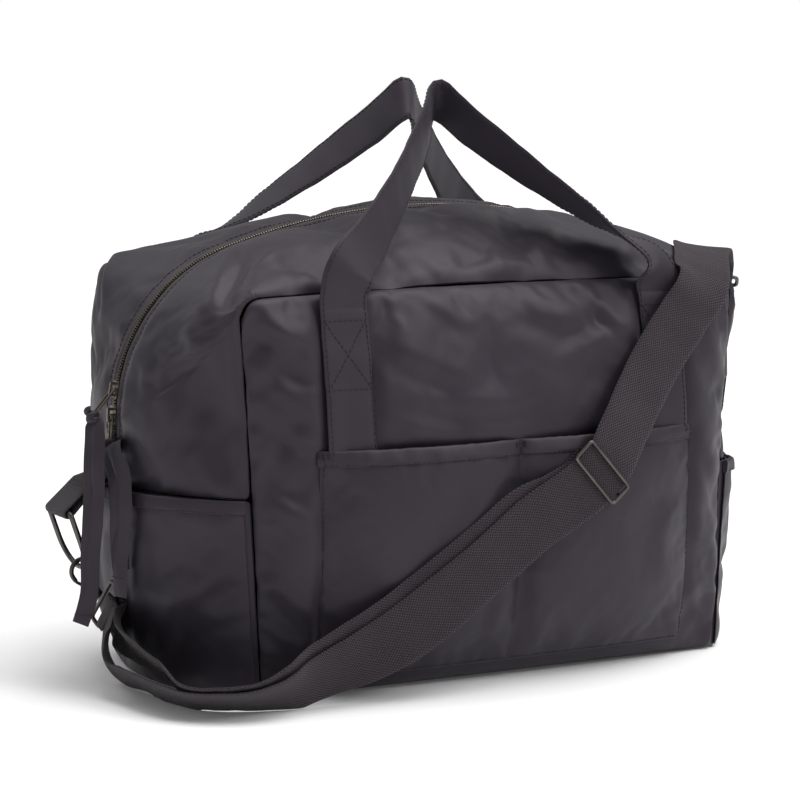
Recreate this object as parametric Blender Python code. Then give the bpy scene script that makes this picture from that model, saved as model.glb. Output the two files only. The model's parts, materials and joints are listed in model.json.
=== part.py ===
"""Soft nylon weekender bag with zipped dome top, twin carry handles and a webbing shoulder strap.

Metres, +Z up. The origin is the centre of the base's flat underside. The front faces -Y and the
long side runs along X. Each sub-part is one named object, and a moving piece has its origin on its joint.
"""

import math

import bmesh
import bpy
from mathutils import Vector
from mathutils.bvhtree import BVHTree

# ---- driving dimensions -------------------------------------------------------------------------
GAP = 0.0003                 # clearance kept between pieces that touch
CLOTH = 0.0035               # padded nylon panel with its lining
BASE_THICK = 0.004
FLOOR_Z = BASE_THICK + GAP   # where the upright panels start

BAG_MIDDLE = Vector((0, 0, 0.15))
SEAM_Y = 0.118               # half the depth between the front and back seams
HALF_TOP = 0.210             # half width of the front panel at its top seam
HALF_BOTTOM = 0.196
SEAM_SIDE_Z = 0.278          # where the panel's top corner starts to round
SEAM_CORNER = 0.015
SEAM_ARCH = 0.0045           # rise of the top seam between its corners
FRONT_BULGE = 0.034

END_X = 0.2566               # end bulge, half the length of the bag
END_TUCK = 0.0196            # how far the end draws in at the floor
ARC_Z = 0.195                # height of the zip's corner arc centre
ARC_R = 0.130
ARC_SWEEP = math.radians(72)
PUFF = 2.2                   # fullness of the section between seam and zip

END_SEAM_Z = 0.1475          # seam between the end panel and the zipped top
SLOT_HALF = 0.006            # half of the slot that shows the zip

POCKET_HALF = 0.1576
POCKET_BOTTOM = 0.014
POCKET_TOP = 0.1825
POCKET_PUFF = 0.0085
POCKET_CLOTH = 0.0022
END_POCKET_TOP = 0.1472
END_POCKET_GAP = 0.0070
END_POCKET_CLOTH = 0.0016

HANDLE_X = 0.133
HANDLE_WIDTH = 0.038
HANDLE_THICK = 0.0034
HANDLE_HINGE_Z = 0.283
HANDLE_ANCHOR_Z = 0.186
HANDLE_STAND_OFF = 0.0045    # middle of the band in front of the panel at its hinge
HANDLE_PEAK = Vector((-0.004, -0.0305, 0.4255))   # middle of the fold at the front handle's top
FOLD_LEAN = Vector((0.06, 0.62, -0.78)).normalized()

STRAP_WIDTH = 0.045
STRAP_THICK = 0.002
TAB_HALF = 0.019             # half width of the D-ring tabs
TAB_THICK = 0.0018
RING_WIRE = 0.0020
RING_HALF = 0.0215
HOOK_WIRE = 0.00175
EYE_HALF = 0.0262
EYE_WIRE = 0.0016

RING_DROP = 0.045
HOOK_BOW = 0.0085            # radius of the hook's bow
HOOK_BOW_Z = 0.0245          # from the swivel to the bow's centre
HOOK_REACH = 0.0285          # from the ring's wire to the swivel
EYE_REACH = 0.0165
SLIDE_WIRE = 0.0012
SLIDE_HALF = 0.0243
SLIDE_REACH = 0.0092
WRAP_RADIUS = EYE_WIRE + 0.0005 + STRAP_THICK / 2
STRAND_LIFT = 0.0036         # spacing of the two strands where they lie together

SLIDER_UPPER_TURN = math.radians(10.0)   # place of the upper slider on the corner arc
SLIDER_LOWER_TURN = math.radians(1.8)
SLIDER_LENGTH = 0.013

MATERIALS = {
    "nylon": ((0.045, 0.040, 0.047), 0.48, 0.0),
    "nylon_edge": ((0.040, 0.036, 0.042), 0.55, 0.0),
    "webbing": ((0.062, 0.053, 0.056), 0.80, 0.0),
    "lining": ((0.030, 0.027, 0.032), 0.60, 0.0),
    "board": ((0.020, 0.020, 0.021), 0.70, 0.0),
    "zip_tape": ((0.035, 0.031, 0.036), 0.85, 0.0),
    "zip_metal": ((0.110, 0.100, 0.090), 0.35, 1.0),
    "hardware": ((0.300, 0.290, 0.280), 0.40, 1.0),
}


# ---- helpers ------------------------------------------------------------------------------------
def clear_scene():
    for old in list(bpy.data.objects):
        bpy.data.objects.remove(old, do_unlink=True)


def material(name):
    found = bpy.data.materials.get(name)
    if found:
        return found
    colour, roughness, metallic = MATERIALS[name]
    made = bpy.data.materials.new(name)
    made.use_nodes = True
    shader = made.node_tree.nodes["Principled BSDF"]
    shader.inputs["Base Color"].default_value = (*colour, 1.0)
    shader.inputs["Roughness"].default_value = roughness
    shader.inputs["Metallic"].default_value = metallic
    return made


def add_object(name, data, finish, pivot=None):
    """Links the data as an object. The points are in world space, and the origin moves to the pivot."""
    if pivot is not None and isinstance(data, bpy.types.Mesh):
        for vertex in data.vertices:
            vertex.co -= pivot
    made = bpy.data.objects.new(name, data)
    if pivot is not None:
        made.location = pivot
    made.data.materials.append(material(finish))
    bpy.context.scene.collection.objects.link(made)
    return made


def mesh_object(name, points, faces, finish, pivot=None):
    mesh = bpy.data.meshes.new(name)
    mesh.from_pydata([tuple(p) for p in points], [], faces)
    made = bmesh.new()
    made.from_mesh(mesh)
    bmesh.ops.remove_doubles(made, verts=made.verts, dist=1e-6)
    bmesh.ops.recalc_face_normals(made, faces=made.faces)
    made.to_mesh(mesh)
    made.free()
    mesh.shade_smooth()
    mesh.set_sharp_from_angle(angle=math.radians(40))
    return add_object(name, mesh, finish, pivot)


def grid_faces(rows, columns, start=0):
    return [
        (
            start + r * columns + c,
            start + r * columns + c + 1,
            start + (r + 1) * columns + c + 1,
            start + (r + 1) * columns + c,
        )
        for r in range(rows - 1)
        for c in range(columns - 1)
    ]


def slab(name, outer, inner, finish, pivot=None):
    """A closed solid between two grids of points with the same rows and columns."""
    rows, columns = len(outer), len(outer[0])
    count = rows * columns
    points = [p for row in outer for p in row] + [p for row in inner for p in row]
    faces = grid_faces(rows, columns)
    faces += [tuple(reversed(f)) for f in grid_faces(rows, columns, count)]
    rim = [(0, c) for c in range(columns)]
    rim += [(r, columns - 1) for r in range(1, rows)]
    rim += [(rows - 1, c) for c in range(columns - 2, -1, -1)]
    rim += [(r, 0) for r in range(rows - 2, 0, -1)]
    ids = [r * columns + c for r, c in rim]
    for a, b in zip(ids, ids[1:] + ids[:1]):
        faces.append((a, b, b + count, a + count))
    return mesh_object(name, points, faces, finish, pivot)


def wire(name, points, radius, finish, closed=False, pivot=None, sides=2):
    """A round wire along the points, as a curve with a bevel."""
    curve = bpy.data.curves.new(name, "CURVE")
    curve.dimensions = "3D"
    curve.bevel_depth = radius
    curve.bevel_resolution = sides
    curve.use_fill_caps = True
    line = curve.splines.new("POLY")
    line.points.add(len(points) - 1)
    shift = pivot or Vector()
    for place, point in zip(line.points, points):
        place.co = (*(Vector(point) - shift), 1.0)
    line.use_cyclic_u = closed
    return add_object(name, curve, finish, pivot)


def box_object(name, centre, half, finish, axes=None, pivot=None, bevel=0.0):
    """A box with its three half sizes along the given axes."""
    x, y, z = axes or (Vector((1, 0, 0)), Vector((0, 1, 0)), Vector((0, 0, 1)))
    signs = [(i, j, k) for k in (-1, 1) for j in (-1, 1) for i in (-1, 1)]
    points = [centre + x * i * half[0] + y * j * half[1] + z * k * half[2] for i, j, k in signs]
    faces = [(0, 2, 3, 1), (4, 5, 7, 6), (0, 1, 5, 4), (2, 6, 7, 3), (0, 4, 6, 2), (1, 3, 7, 5)]
    made = mesh_object(name, points, faces, finish, pivot)
    if bevel:
        edge = made.modifiers.new("edges", "BEVEL")
        edge.width = bevel
        edge.segments = 2
    return made


def smooth_step(t):
    t = min(max(t, 0.0), 1.0)
    return t * t * (3 - 2 * t)


def spline_points(stations, spans, steps):
    """Smooth points through the stations. The spans are the distances from each station to the next."""
    legs = [(b - a) / span for a, b, span in zip(stations, stations[1:], spans)]
    slopes = [legs[0]]
    for leg_in, leg_out, span_in, span_out in zip(legs, legs[1:], spans, spans[1:]):
        slopes.append((leg_in * span_out + leg_out * span_in) / (span_in + span_out))
    slopes.append(legs[-1])
    found = []
    for k, span in enumerate(spans):
        a, b, out, into = stations[k], stations[k + 1], slopes[k] * span, slopes[k + 1] * span
        for j in range(steps):
            t = j / steps
            ease = t * t * (3 - 2 * t)
            found.append(a * (1 - ease) + b * ease + out * t * (1 - t) ** 2 - into * t**2 * (1 - t))
    return found + [stations[-1].copy()]


# ---- the bag's skin -----------------------------------------------------------------------------
def seam_half(z):
    """Half width between the front panel's side seams at this height."""
    return HALF_BOTTOM + (HALF_TOP - HALF_BOTTOM) * min(max(z / SEAM_SIDE_Z, 0.0), 1.0)


def top_seam_z(x):
    return SEAM_SIDE_Z + SEAM_CORNER + SEAM_ARCH * (1 - (x / HALF_TOP) ** 2)


def crown_at(turn):
    """Point and outward normal of the zip's left corner arc, in XZ, turned up from the level."""
    normal = Vector((-math.cos(turn), 0, math.sin(turn)))
    centre = Vector((ARC_R - END_X, 0, ARC_Z))
    return centre + normal * ARC_R, normal


def end_x(z):
    """Half length of the bag at its middle, below the corner arc."""
    low = max(ARC_Z - z, 0.0) / ARC_Z
    return END_X - END_TUCK * low**2


def left_ribs():
    """(seam point, crown point, inward normal) pairs from the left floor edge to the middle of the top."""
    lower, upper, top = [], [], []
    for k in range(6):
        z = FLOOR_Z + (END_SEAM_Z - FLOOR_Z) * k / 5
        lower.append((Vector((-seam_half(z), 0, z)), Vector((-end_x(z), 0, z)), Vector((1, 0, 0))))
    for k in range(4):
        seam_z = END_SEAM_Z + GAP + (SEAM_SIDE_Z - END_SEAM_Z - GAP) * k / 4
        crown_z = END_SEAM_Z + GAP + (ARC_Z - END_SEAM_Z - GAP) * k / 4
        seam = Vector((-seam_half(seam_z), 0, seam_z))
        upper.append((seam, Vector((-end_x(crown_z), 0, crown_z)), Vector((1, 0, 0))))
    for k in range(7):
        turn = ARC_SWEEP * k / 6
        crown, normal = crown_at(turn)
        bend = math.radians(90) * k / 6
        seam = Vector((SEAM_CORNER - HALF_TOP, 0, SEAM_SIDE_Z))
        seam += Vector((-math.cos(bend), 0, math.sin(bend))) * SEAM_CORNER
        seam.z += (top_seam_z(seam.x) - SEAM_SIDE_Z - SEAM_CORNER) * k / 6
        upper.append((seam, crown, -normal))
    edge, normal = crown_at(ARC_SWEEP)
    dome_r = -edge.x / math.cos(ARC_SWEEP)
    for k in range(1, 8):
        lean = (math.radians(90) - ARC_SWEEP) * (1 - k / 7)
        outward = Vector((-math.sin(lean), 0, math.cos(lean)))
        crown = edge + (outward - normal) * dome_r
        x = (SEAM_CORNER - HALF_TOP) * (1 - k / 7)
        top.append((Vector((x, 0, top_seam_z(x))), crown, -outward))
    return lower, upper + top


def mirrored_ribs(ribs):
    flip = Vector((-1, 1, 1))
    return [tuple(Vector(p * q for p, q in zip(v, flip)) for v in rib) for rib in reversed(ribs)]


LOWER_RIBS, UPPER_RIBS = left_ribs()
ALL_UPPER = UPPER_RIBS + mirrored_ribs(UPPER_RIBS)[1:]
LEFT_RIBS = LOWER_RIBS + UPPER_RIBS


def skin_point(rib, y, depth=0.0):
    """A point of the outer skin on this rib, or this far inside it."""
    seam, crown, inward = rib
    full = 1 - (abs(y) / SEAM_Y) ** PUFF
    point = seam.lerp(crown, full) + inward * depth
    point.y = y
    return point


def bulge_at(x, z):
    """How far the front panel stands out of its seam plane."""
    across = min(abs(x) / seam_half(z), 1.0)
    up = min(max((z - FLOOR_Z) / (top_seam_z(x) - FLOOR_Z), 0.0), 1.0)
    return FRONT_BULGE * (1 - across**3) * math.sin(math.pi * up**0.8) ** 0.7


def front_y(x, z):
    return -SEAM_Y - bulge_at(x, z)


def panel_rim():
    """The seam line round the front panel, counter-clockwise from its lower left corner."""
    left = [rib[0] for rib in LEFT_RIBS]
    right = [Vector((-p.x, 0, p.z)) for p in reversed(left[:-1])]
    floor = [Vector((HALF_BOTTOM * (1 - 2 * k / 12), 0, FLOOR_Z)) for k in range(1, 12)]
    return left + right + floor


PANEL_RINGS = (1.0, 0.92, 0.8, 0.62, 0.42, 0.2)


def panel_solid(name, side):
    """The front panel, or with side +1 its mirror at the back, as a bulging slab."""
    rim = panel_rim()
    middle = Vector((0, 0, 0.150))
    points, faces = [], []
    for depth in (0.0, CLOTH):
        for scale in PANEL_RINGS:
            for p in rim:
                q = middle.lerp(p, scale)
                points.append(Vector((q.x, side * (SEAM_Y + bulge_at(q.x, q.z) - depth), q.z)))
        points.append(Vector((0, side * (SEAM_Y + bulge_at(0, middle.z) - depth), middle.z)))
    ring, layer = len(rim), len(rim) * len(PANEL_RINGS) + 1
    for start, flip in ((0, False), (layer, True)):
        made = []
        for r in range(len(PANEL_RINGS) - 1):
            for k in range(ring):
                n = (k + 1) % ring
                made.append((start + r * ring + k, start + r * ring + n,
                             start + (r + 1) * ring + n, start + (r + 1) * ring + k))
        inmost = start + (len(PANEL_RINGS) - 1) * ring
        made += [(inmost + k, inmost + (k + 1) % ring, start + layer - 1) for k in range(ring)]
        faces += [tuple(reversed(f)) for f in made] if flip else made
    for k in range(ring):
        n = (k + 1) % ring
        faces.append((k, n, n + layer, k + layer))
    mesh_object(name, points, faces, "nylon")
    return points[:layer], [f for f in faces if max(f) < layer]


def y_rows(outermost, innermost, count):
    return [outermost + (innermost - outermost) * (k / (count - 1))  for k in range(count)]


def skin_slab(name, ribs, rows, finish="nylon"):
    """A strip of the bag's gusset: these ribs, at these distances from the middle plane."""
    outer = [[skin_point(rib, y) for y in rows] for rib in ribs]
    inner = [[skin_point(rib, y, CLOTH) for y in rows] for rib in ribs]
    slab(name, outer, inner, finish)
    return outer


def make_body():
    """The panels sewn together into the bag. Returns the outer skin for pieces that lie on it."""
    seam_inside = SEAM_Y - CLOTH - GAP
    polygons, points = [], []

    def remember(found, faces):
        polygons.extend(tuple(i + len(points) for i in f) for f in faces)
        points.extend(found)

    remember(*panel_solid("front_panel", -1))
    panel_solid("back_panel", 1)
    top_rows = y_rows(-seam_inside, -SLOT_HALF, 7)
    front = skin_slab("top_panel_front", ALL_UPPER, top_rows)
    skin_slab("top_panel_back", ALL_UPPER, [-y for y in top_rows])
    remember([p for row in front for p in row], grid_faces(len(front), len(front[0])))
    end_rows = y_rows(-seam_inside, seam_inside, 13)
    left = skin_slab("end_panel_left", LOWER_RIBS, end_rows)
    skin_slab("end_panel_right", mirrored_ribs(LOWER_RIBS), end_rows)
    remember([p for row in left for p in row], grid_faces(len(left), len(left[0])))
    return points, polygons


def make_base():
    """The flat underside, the stiffening board on it, and the open lining bag inside."""
    rim = [skin_point(LOWER_RIBS[0], -SEAM_Y + 2 * SEAM_Y * k / 12) for k in range(13)]
    rim = [p for p in rim] + [Vector((-p.x, -p.y, p.z)) for p in rim]
    points = [Vector((p.x, p.y, 0)) for p in rim] + [Vector((p.x, p.y, BASE_THICK)) for p in rim]
    count = len(rim)
    faces = [tuple(range(count)), tuple(reversed(range(count, 2 * count)))]
    faces += [(k, (k + 1) % count, (k + 1) % count + count, k + count) for k in range(count)]
    mesh_object("base_panel", points, faces, "nylon")

    board = Vector((0, 0, BASE_THICK + GAP + 0.0015))
    box_object("base_board", board, (0.184, 0.105, 0.0015), "board", bevel=0.001)

    wall, floor, rim_z = 0.0012, board.z + 0.0015 + GAP, 0.262
    half_x, half_y, corner = 0.1895, 0.1095, 0.03

    def loop(inset, z):
        found = []
        for sx, sy, start in ((1, -1, -90), (1, 1, 0), (-1, 1, 90), (-1, -1, 180)):
            for k in range(6):
                turn = math.radians(start + 90 * k / 5)
                x = sx * (half_x - corner) + (corner - inset) * math.cos(turn)
                y = sy * (half_y - corner) + (corner - inset) * math.sin(turn)
                found.append(Vector((x, y, z)))
        return found

    loops = [loop(0, floor), loop(0, rim_z), loop(wall, rim_z), loop(wall, floor + wall)]
    around = len(loops[0])
    points = [p for row in loops for p in row]
    faces = [tuple(reversed(range(around))), tuple(range(3 * around, 4 * around))]
    for r in range(3):
        faces += [
            (r * around + k, r * around + (k + 1) % around,
             (r + 1) * around + (k + 1) % around, (r + 1) * around + k)
            for k in range(around)
        ]
    mesh_object("lining", points, faces, "lining")


def make_front_pocket():
    """The wide patch pocket with a centre seam. Its two lobes stand off the panel."""
    columns, rows = 25, 8

    def stand_off(u, w):
        lobe = max(1 - (2 * abs(u) - 1) ** 2, 0.0)
        return GAP * 3 + POCKET_PUFF * lobe**0.7 * smooth_step(w / 0.35)

    outer, inner = [], []
    for r in range(rows):
        w = r / (rows - 1)
        z = POCKET_BOTTOM + (POCKET_TOP - POCKET_BOTTOM) * w
        line = []
        for c in range(columns):
            u = 2 * c / (columns - 1) - 1
            x = u * POCKET_HALF
            line.append(Vector((x, front_y(x, z) - stand_off(u, w), z)))
        inner.append(line)
        outer.append([p - Vector((0, POCKET_CLOTH, 0)) for p in line])
    slab("front_pocket", outer, inner, "nylon")
    return [p for row in outer for p in row], grid_faces(rows, columns)


def make_end_pockets():
    """The slip pocket across each end, open along its top hem."""
    inside = SEAM_Y - CLOTH - GAP
    rows = y_rows(-inside, inside, 13)

    def stand_off(y, w):
        return 3 * GAP + END_POCKET_GAP * (1 - (abs(y) / SEAM_Y) ** 4) * smooth_step(w * 1.5)

    for side, name in ((1, "end_pocket_left"), (-1, "end_pocket_right")):
        outer, inner = [], []
        for k in range(6):
            w = k / 5
            z = FLOOR_Z + (END_POCKET_TOP - FLOOR_Z) * w
            rib = (Vector((-seam_half(z), 0, z)), Vector((-end_x(z), 0, z)), Vector((1, 0, 0)))
            near = [skin_point(rib, y, -stand_off(y, w)) for y in rows]
            far = [skin_point(rib, y, -stand_off(y, w) - END_POCKET_CLOTH) for y in rows]
            inner.append([Vector((side * p.x, p.y, p.z)) for p in near])
            outer.append([Vector((side * p.x, p.y, p.z)) for p in far])
        slab(name, outer, inner, "nylon")
        if side == 1:
            skin = [p for row in outer for p in row], grid_faces(len(outer), len(rows))
    return skin


# ---- zip ----------------------------------------------------------------------------------------
def zip_stations():
    """(point, outward normal) along the zip from its left bottom to its right bottom."""
    left = [(rib[1], -rib[2]) for rib in UPPER_RIBS]
    low_z = END_SEAM_Z + 0.008
    left[0] = (Vector((-end_x(low_z), 0, low_z)), Vector((-1, 0, 0)))
    right = [(Vector((-p.x, 0, p.z)), Vector((-n.x, 0, n.z))) for p, n in reversed(left[:-1])]
    return left + right


def zip_strip(name, finish, y_near, y_far, top, bottom):
    """A band along the zip between two widths, with its faces this far outside the skin line."""
    outer, inner = [], []
    for point, normal in zip_stations():
        outer.append([point + normal * top + Vector((0, y, 0)) for y in (y_near, y_far)])
        inner.append([point + normal * bottom + Vector((0, y, 0)) for y in (y_near, y_far)])
    slab(name, outer, inner, finish)


def make_slider(name, turn):
    """A zip slider astride the chain, with a bridge for its pull. Its origin is on the corner arc's centre."""
    pivot = Vector((ARC_R - END_X, 0, ARC_Z))
    place, out = crown_at(turn)
    along = Vector((out.z, 0, -out.x))
    across = Vector((0, 1, 0))
    axes = (along, across, out)
    half = SLIDER_LENGTH / 2
    body = box_object(name, place + out * 0.0002, (half, 0.0050, 0.0008), "zip_metal", axes, pivot)
    extras = []
    for side in (-1, 1):
        flange = place - out * 0.0018 + across * side * 0.0043
        extras.append(box_object("flange", flange, (half * 0.8, 0.0007, 0.0018), "zip_metal", axes, pivot))
        post = place + out * 0.0027 + along * side * 0.0042
        extras.append(box_object("post", post, (0.0009, 0.0013, 0.0022), "zip_metal", axes, pivot))
    bridge = place + out * 0.0049
    extras.append(box_object("bridge", bridge, (0.0051, 0.0013, 0.0007), "zip_metal", axes, pivot))
    for extra in extras:
        extra.hide_render = True
        extra.display_type = "WIRE"
        join = body.modifiers.new("join", "BOOLEAN")
        join.operation = "UNION"
        join.solver = "EXACT"
        join.object = extra
    return place + out * 0.0026


def make_pull(name, hinge, hang, length, stations, width):
    """A wire bail through the slider's bridge, and the folded strip of cloth tied to it."""
    across = Vector((0, 1, 0))
    low = hinge + hang * length
    loop = [hinge - across * 0.0028, low - across * 0.0020, low + across * 0.0020, hinge + across * 0.0028]
    wire("pull_bail_" + name, loop, 0.0009, "zip_metal", closed=True, pivot=hinge)
    ribbon("pull_strip_" + name, fine_rows(stations, 3), width, 0.0030, "nylon_edge", pivot=hinge)


def make_zip():
    for side, name in ((-1, "front"), (1, "back")):
        zip_strip("zipper_tape_" + name, "zip_tape", side * 0.0006, side * 0.0110, -0.0043, -0.0051)
        zip_strip("zipper_chain_" + name, "zip_metal", side * 0.00015, side * 0.0031, -0.0009, -0.0039)
    low, out = zip_stations()[0]
    for side, name in ((1, "left"), (-1, "right")):
        centre = Vector((side * (low.x + 0.0024), 0, low.z - 0.0022))
        box_object("zipper_stop_" + name, centre, (0.0018, 0.0036, 0.0017), "zip_metal", bevel=0.0004)
    upper = make_slider("slider_upper", SLIDER_UPPER_TURN)
    lower = make_slider("slider_lower", SLIDER_LOWER_TURN)
    face = Vector((0.877, -0.480, 0.0))
    drape = [(-0.2745, -0.0045, 0.1925), (-0.2790, -0.0150, 0.168), (-0.2850, -0.0285, 0.138),
             (-0.2890, -0.0290, 0.100), (-0.2910, -0.0290, 0.070), (-0.2970, -0.0270, 0.052)]
    stations = [(Vector(p), face) for p in drape]
    make_pull("upper", upper, Vector((-0.66, 0.0, -0.75)).normalized(), 0.0225, stations, 0.0145)
    face = Vector((0.55, -0.835, 0.0))
    drape = [(-0.2640, -0.0100, 0.1755), (-0.2645, -0.0290, 0.160), (-0.2680, -0.0415, 0.140),
             (-0.2700, -0.0405, 0.110), (-0.2690, -0.0405, 0.072)]
    stations = [(Vector(p), face) for p in drape]
    make_pull("lower", lower, Vector((-0.03, 0.0, -1.0)).normalized(), 0.0200, stations, 0.0165)


# ---- ribbons: handles and strap -----------------------------------------------------------------
def fine_rows(stations, steps):
    """The (centre, across) stations with this many steps between each two."""
    spans = [(b[0] - a[0]).length for a, b in zip(stations, stations[1:])]
    centres = spline_points([centre for centre, _ in stations], spans, steps)
    acrosses = spline_points([across.normalized() for _, across in stations], spans, steps)
    return list(zip(centres, acrosses))


def ribbon(name, rows, width, thick, finish, pivot=None, columns=1, clear=None, skin=None):
    """A flat band through (centre, across) rows. Where a skin is given, it is kept this clear of it."""
    outer, inner = [], []
    for k, (centre, across) in enumerate(rows):
        tangent = rows[min(k + 1, len(rows) - 1)][0] - rows[max(k - 1, 0)][0]
        tangent.normalize()
        across = (across - tangent * across.dot(tangent)).normalized()
        normal = tangent.cross(across)
        near, far = [], []
        for c in range(columns + 1):
            point = centre + across * width * (c / columns - 0.5)
            if skin:
                point = push_clear(point, clear, skin)
            near.append(point + normal * thick / 2)
            far.append(point - normal * thick / 2)
        outer.append(near)
        inner.append(far)
    return slab(name, outer, inner, finish, pivot)


def push_clear(point, clear, skin):
    """Moves a point that is inside the skin, or nearer to it than the clearance, out to the clearance."""
    place, normal, _, _ = skin.find_nearest(point)
    if normal.dot(place - BAG_MIDDLE) < 0:
        normal = -normal
    away = point - place
    stand = away.dot(normal)
    if stand >= clear or (away.length > clear and stand > -0.5 * away.length):
        return point
    return place + normal * clear


def handle_stations(left):
    """(centre, across) from the hinge line up to the fold of the front handle, for one leg."""
    side = -1 if left else 1
    foot = Vector((side * HANDLE_X, front_y(HANDLE_X, HANDLE_HINGE_Z) - HANDLE_STAND_OFF, HANDLE_HINGE_Z))
    shoulder = foot + Vector((-side * 0.005, -0.003, 0.027))
    rise = HANDLE_PEAK - shoulder
    forward = rise.normalized()
    level = (Vector((1, 0, 0)) - forward * forward.x).normalized()
    # The band leaves the panel square to X, and turns until it lies along the fold.
    turns = (72, 52, 36, 29, 25, 21, 12) if left else (68, 46, 30, 20, 12, 5, 0)
    stations = [(foot, Vector((1, 0, 0))), (foot + Vector((0, -0.0006, 0.008)), Vector((1, 0, 0)))]
    for k, turn in enumerate(turns):
        share = k / (len(turns) - 1)
        bow = Vector((side * 0.004, -0.007, 0.0)) * math.sin(math.pi * share)
        angle = math.radians(turn)
        across = level * math.sin(angle) + FOLD_LEAN * math.cos(angle)
        stations.append((shoulder + rise * share + bow, across))
    return stations


def make_handles():
    """Two looped handles. The back one is the front one turned half round the vertical."""
    for turn, end in ((1, "front"), (-1, "back")):
        left = handle_stations(True)
        right = handle_stations(False)
        path = left + list(reversed(right))[1:]
        spin = Vector((turn, turn, 1))
        path = [
            (Vector(p * s for p, s in zip(c, spin)), Vector(p * s for p, s in zip(a, spin))) for c, a in path
        ]
        hinge = Vector((0, turn * (front_y(HANDLE_X, HANDLE_HINGE_Z) - HANDLE_STAND_OFF), HANDLE_HINGE_Z))
        ribbon("handle_" + end, fine_rows(path, 3), HANDLE_WIDTH, HANDLE_THICK, "nylon_edge", pivot=hinge)
        for side, name in ((-1, "left"), (1, "right")):
            outer, inner = [], []
            for k in range(7):
                z = HANDLE_ANCHOR_Z + (HANDLE_HINGE_Z - 0.0022 - HANDLE_ANCHOR_Z) * k / 6
                row = []
                for c in range(4):
                    x = HANDLE_X + HANDLE_WIDTH * (c / 3 - 0.5)
                    row.append(Vector((side * x, turn * (front_y(x, z) - 2 * GAP), z)))
                inner.append(row)
                outer.append([p - Vector((0, turn * 0.0026, 0)) for p in row])
            slab(f"handle_anchor_{end}_{name}", outer, inner, "nylon_edge")


# ---- end hardware -------------------------------------------------------------------------------
class EndFitting:
    """Where one end's tab, ring, hook and strap eye lie. Each way leads from one piece to the next."""

    def __init__(self, name, tab_root, tab_middle, bar, ring_way, hook_way, eye_way, eye_bar):
        self.name = name
        self.tab_root = Vector(tab_root)
        self.tab_middle = Vector(tab_middle)
        self.bar = Vector(bar)
        self.ring_way = Vector(ring_way).normalized()
        self.hook_way = Vector(hook_way).normalized()
        self.eye_bar_way = Vector(eye_bar).normalized()
        self.ring_end = self.bar + self.ring_way * RING_DROP
        self.swivel = self.ring_end + self.hook_way * HOOK_REACH
        way = Vector(eye_way)
        way -= self.eye_bar_way * way.dot(self.eye_bar_way)
        self.eye_way = way.normalized()
        self.eye = self.swivel + self.eye_way * EYE_REACH


LEFT_END = EndFitting(
    "left", (-0.2580, 0, 0.1575), (-0.2800, 0, 0.1512), (-0.3005, 0, 0.1315),
    (0.326, 0, -0.945), (0.58, 0.22, -0.78), (0.30, -0.55, -0.65), (0.0, 0.75, -0.66),
)
RIGHT_END = EndFitting(
    "right", (0.2605, 0, 0.1570), (0.2668, 0, 0.1720), (0.2690, 0, 0.1985),
    (-0.03, 0, 1.0), (-0.28, -0.10, 0.95), (-0.50, -0.40, 0.60), (0.80, -0.57, -0.10),
)


def make_tab(end):
    """The folded webbing tab that holds the ring: out along its underside, round the bar and back."""
    way = (end.bar - end.tab_middle).normalized()
    side = Vector((-way.z, 0, way.x))
    radius = RING_WIRE + 0.0005 + TAB_THICK / 2
    root_way = (end.tab_middle - end.tab_root).normalized()
    root_side = Vector((-root_way.z, 0, root_way.x))
    path = [end.tab_root - root_side * 0.0014, end.tab_middle - side * 0.0022]
    for k in range(9):
        turn = math.radians(180) * k / 8
        path.append(end.bar + (way * math.sin(turn) - side * math.cos(turn)) * radius)
    path += [end.tab_middle + side * 0.0022, end.tab_root + root_side * 0.0014]
    stations = [(p, Vector((0, 1, 0))) for p in path]
    ribbon("dring_tab_" + end.name, stations, 2 * TAB_HALF, TAB_THICK, "webbing")


def make_ring(end):
    """A D of round wire: its bar lies in the tab, and its bow hangs towards the hook."""
    y, way = Vector((0, 1, 0)), end.ring_way
    corner, straight = 0.003, RING_DROP - RING_HALF
    points = []
    for side in (-1, 1):
        middle = end.bar + y * side * (RING_HALF - corner) + way * corner
        for k in range(4):
            turn = math.radians(30 * k if side > 0 else 90 - 30 * k)
            points.append(middle + (y * side * math.sin(turn) - way * math.cos(turn)) * corner)
    for k in range(13):
        turn = math.radians(180) * k / 12
        points.append(end.bar + way * (straight + RING_HALF * math.sin(turn)) + y * RING_HALF * math.cos(turn))
    wire("d_ring_" + end.name, points, RING_WIRE, "hardware", closed=True, pivot=end.bar)


def make_hook(end):
    """The snap hook through the ring, its sprung gate, and the barrel and eye that hold the strap."""
    up = -end.hook_way
    out = up.cross(Vector((0, 1, 0))).normalized()

    def at(along, aside):
        return end.swivel + up * along + out * aside

    spine = [at(0.0046, 0.0), at(0.0070, -0.0033), at(0.0110, -0.0068), at(0.0175, -0.0085)]
    bow = []
    for k in range(11):
        turn = math.radians(180) * k / 10
        bow.append(at(HOOK_BOW_Z + HOOK_BOW * math.sin(turn), -HOOK_BOW * math.cos(turn)))
    nose = [at(0.0205, HOOK_BOW)]
    wire("snap_hook_" + end.name, spine + bow + nose, HOOK_WIRE, "hardware", pivot=end.swivel)
    hinge = at(0.0085, 0.0042)
    wire("hook_gate_" + end.name, [hinge, at(0.0193, HOOK_BOW)], 0.0012, "hardware", pivot=hinge)
    wire("hook_barrel_" + end.name, [at(-0.0030, 0), at(0.0030, 0)], 0.0034, "hardware", sides=3)
    near = end.swivel + end.eye_way * (EYE_REACH - 0.0105)
    half = end.eye_bar_way * EYE_HALF
    loop = [near - half, near + half, end.eye + half, end.eye - half]
    wire("strap_eye_" + end.name, loop, EYE_WIRE, "hardware", closed=True)


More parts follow.
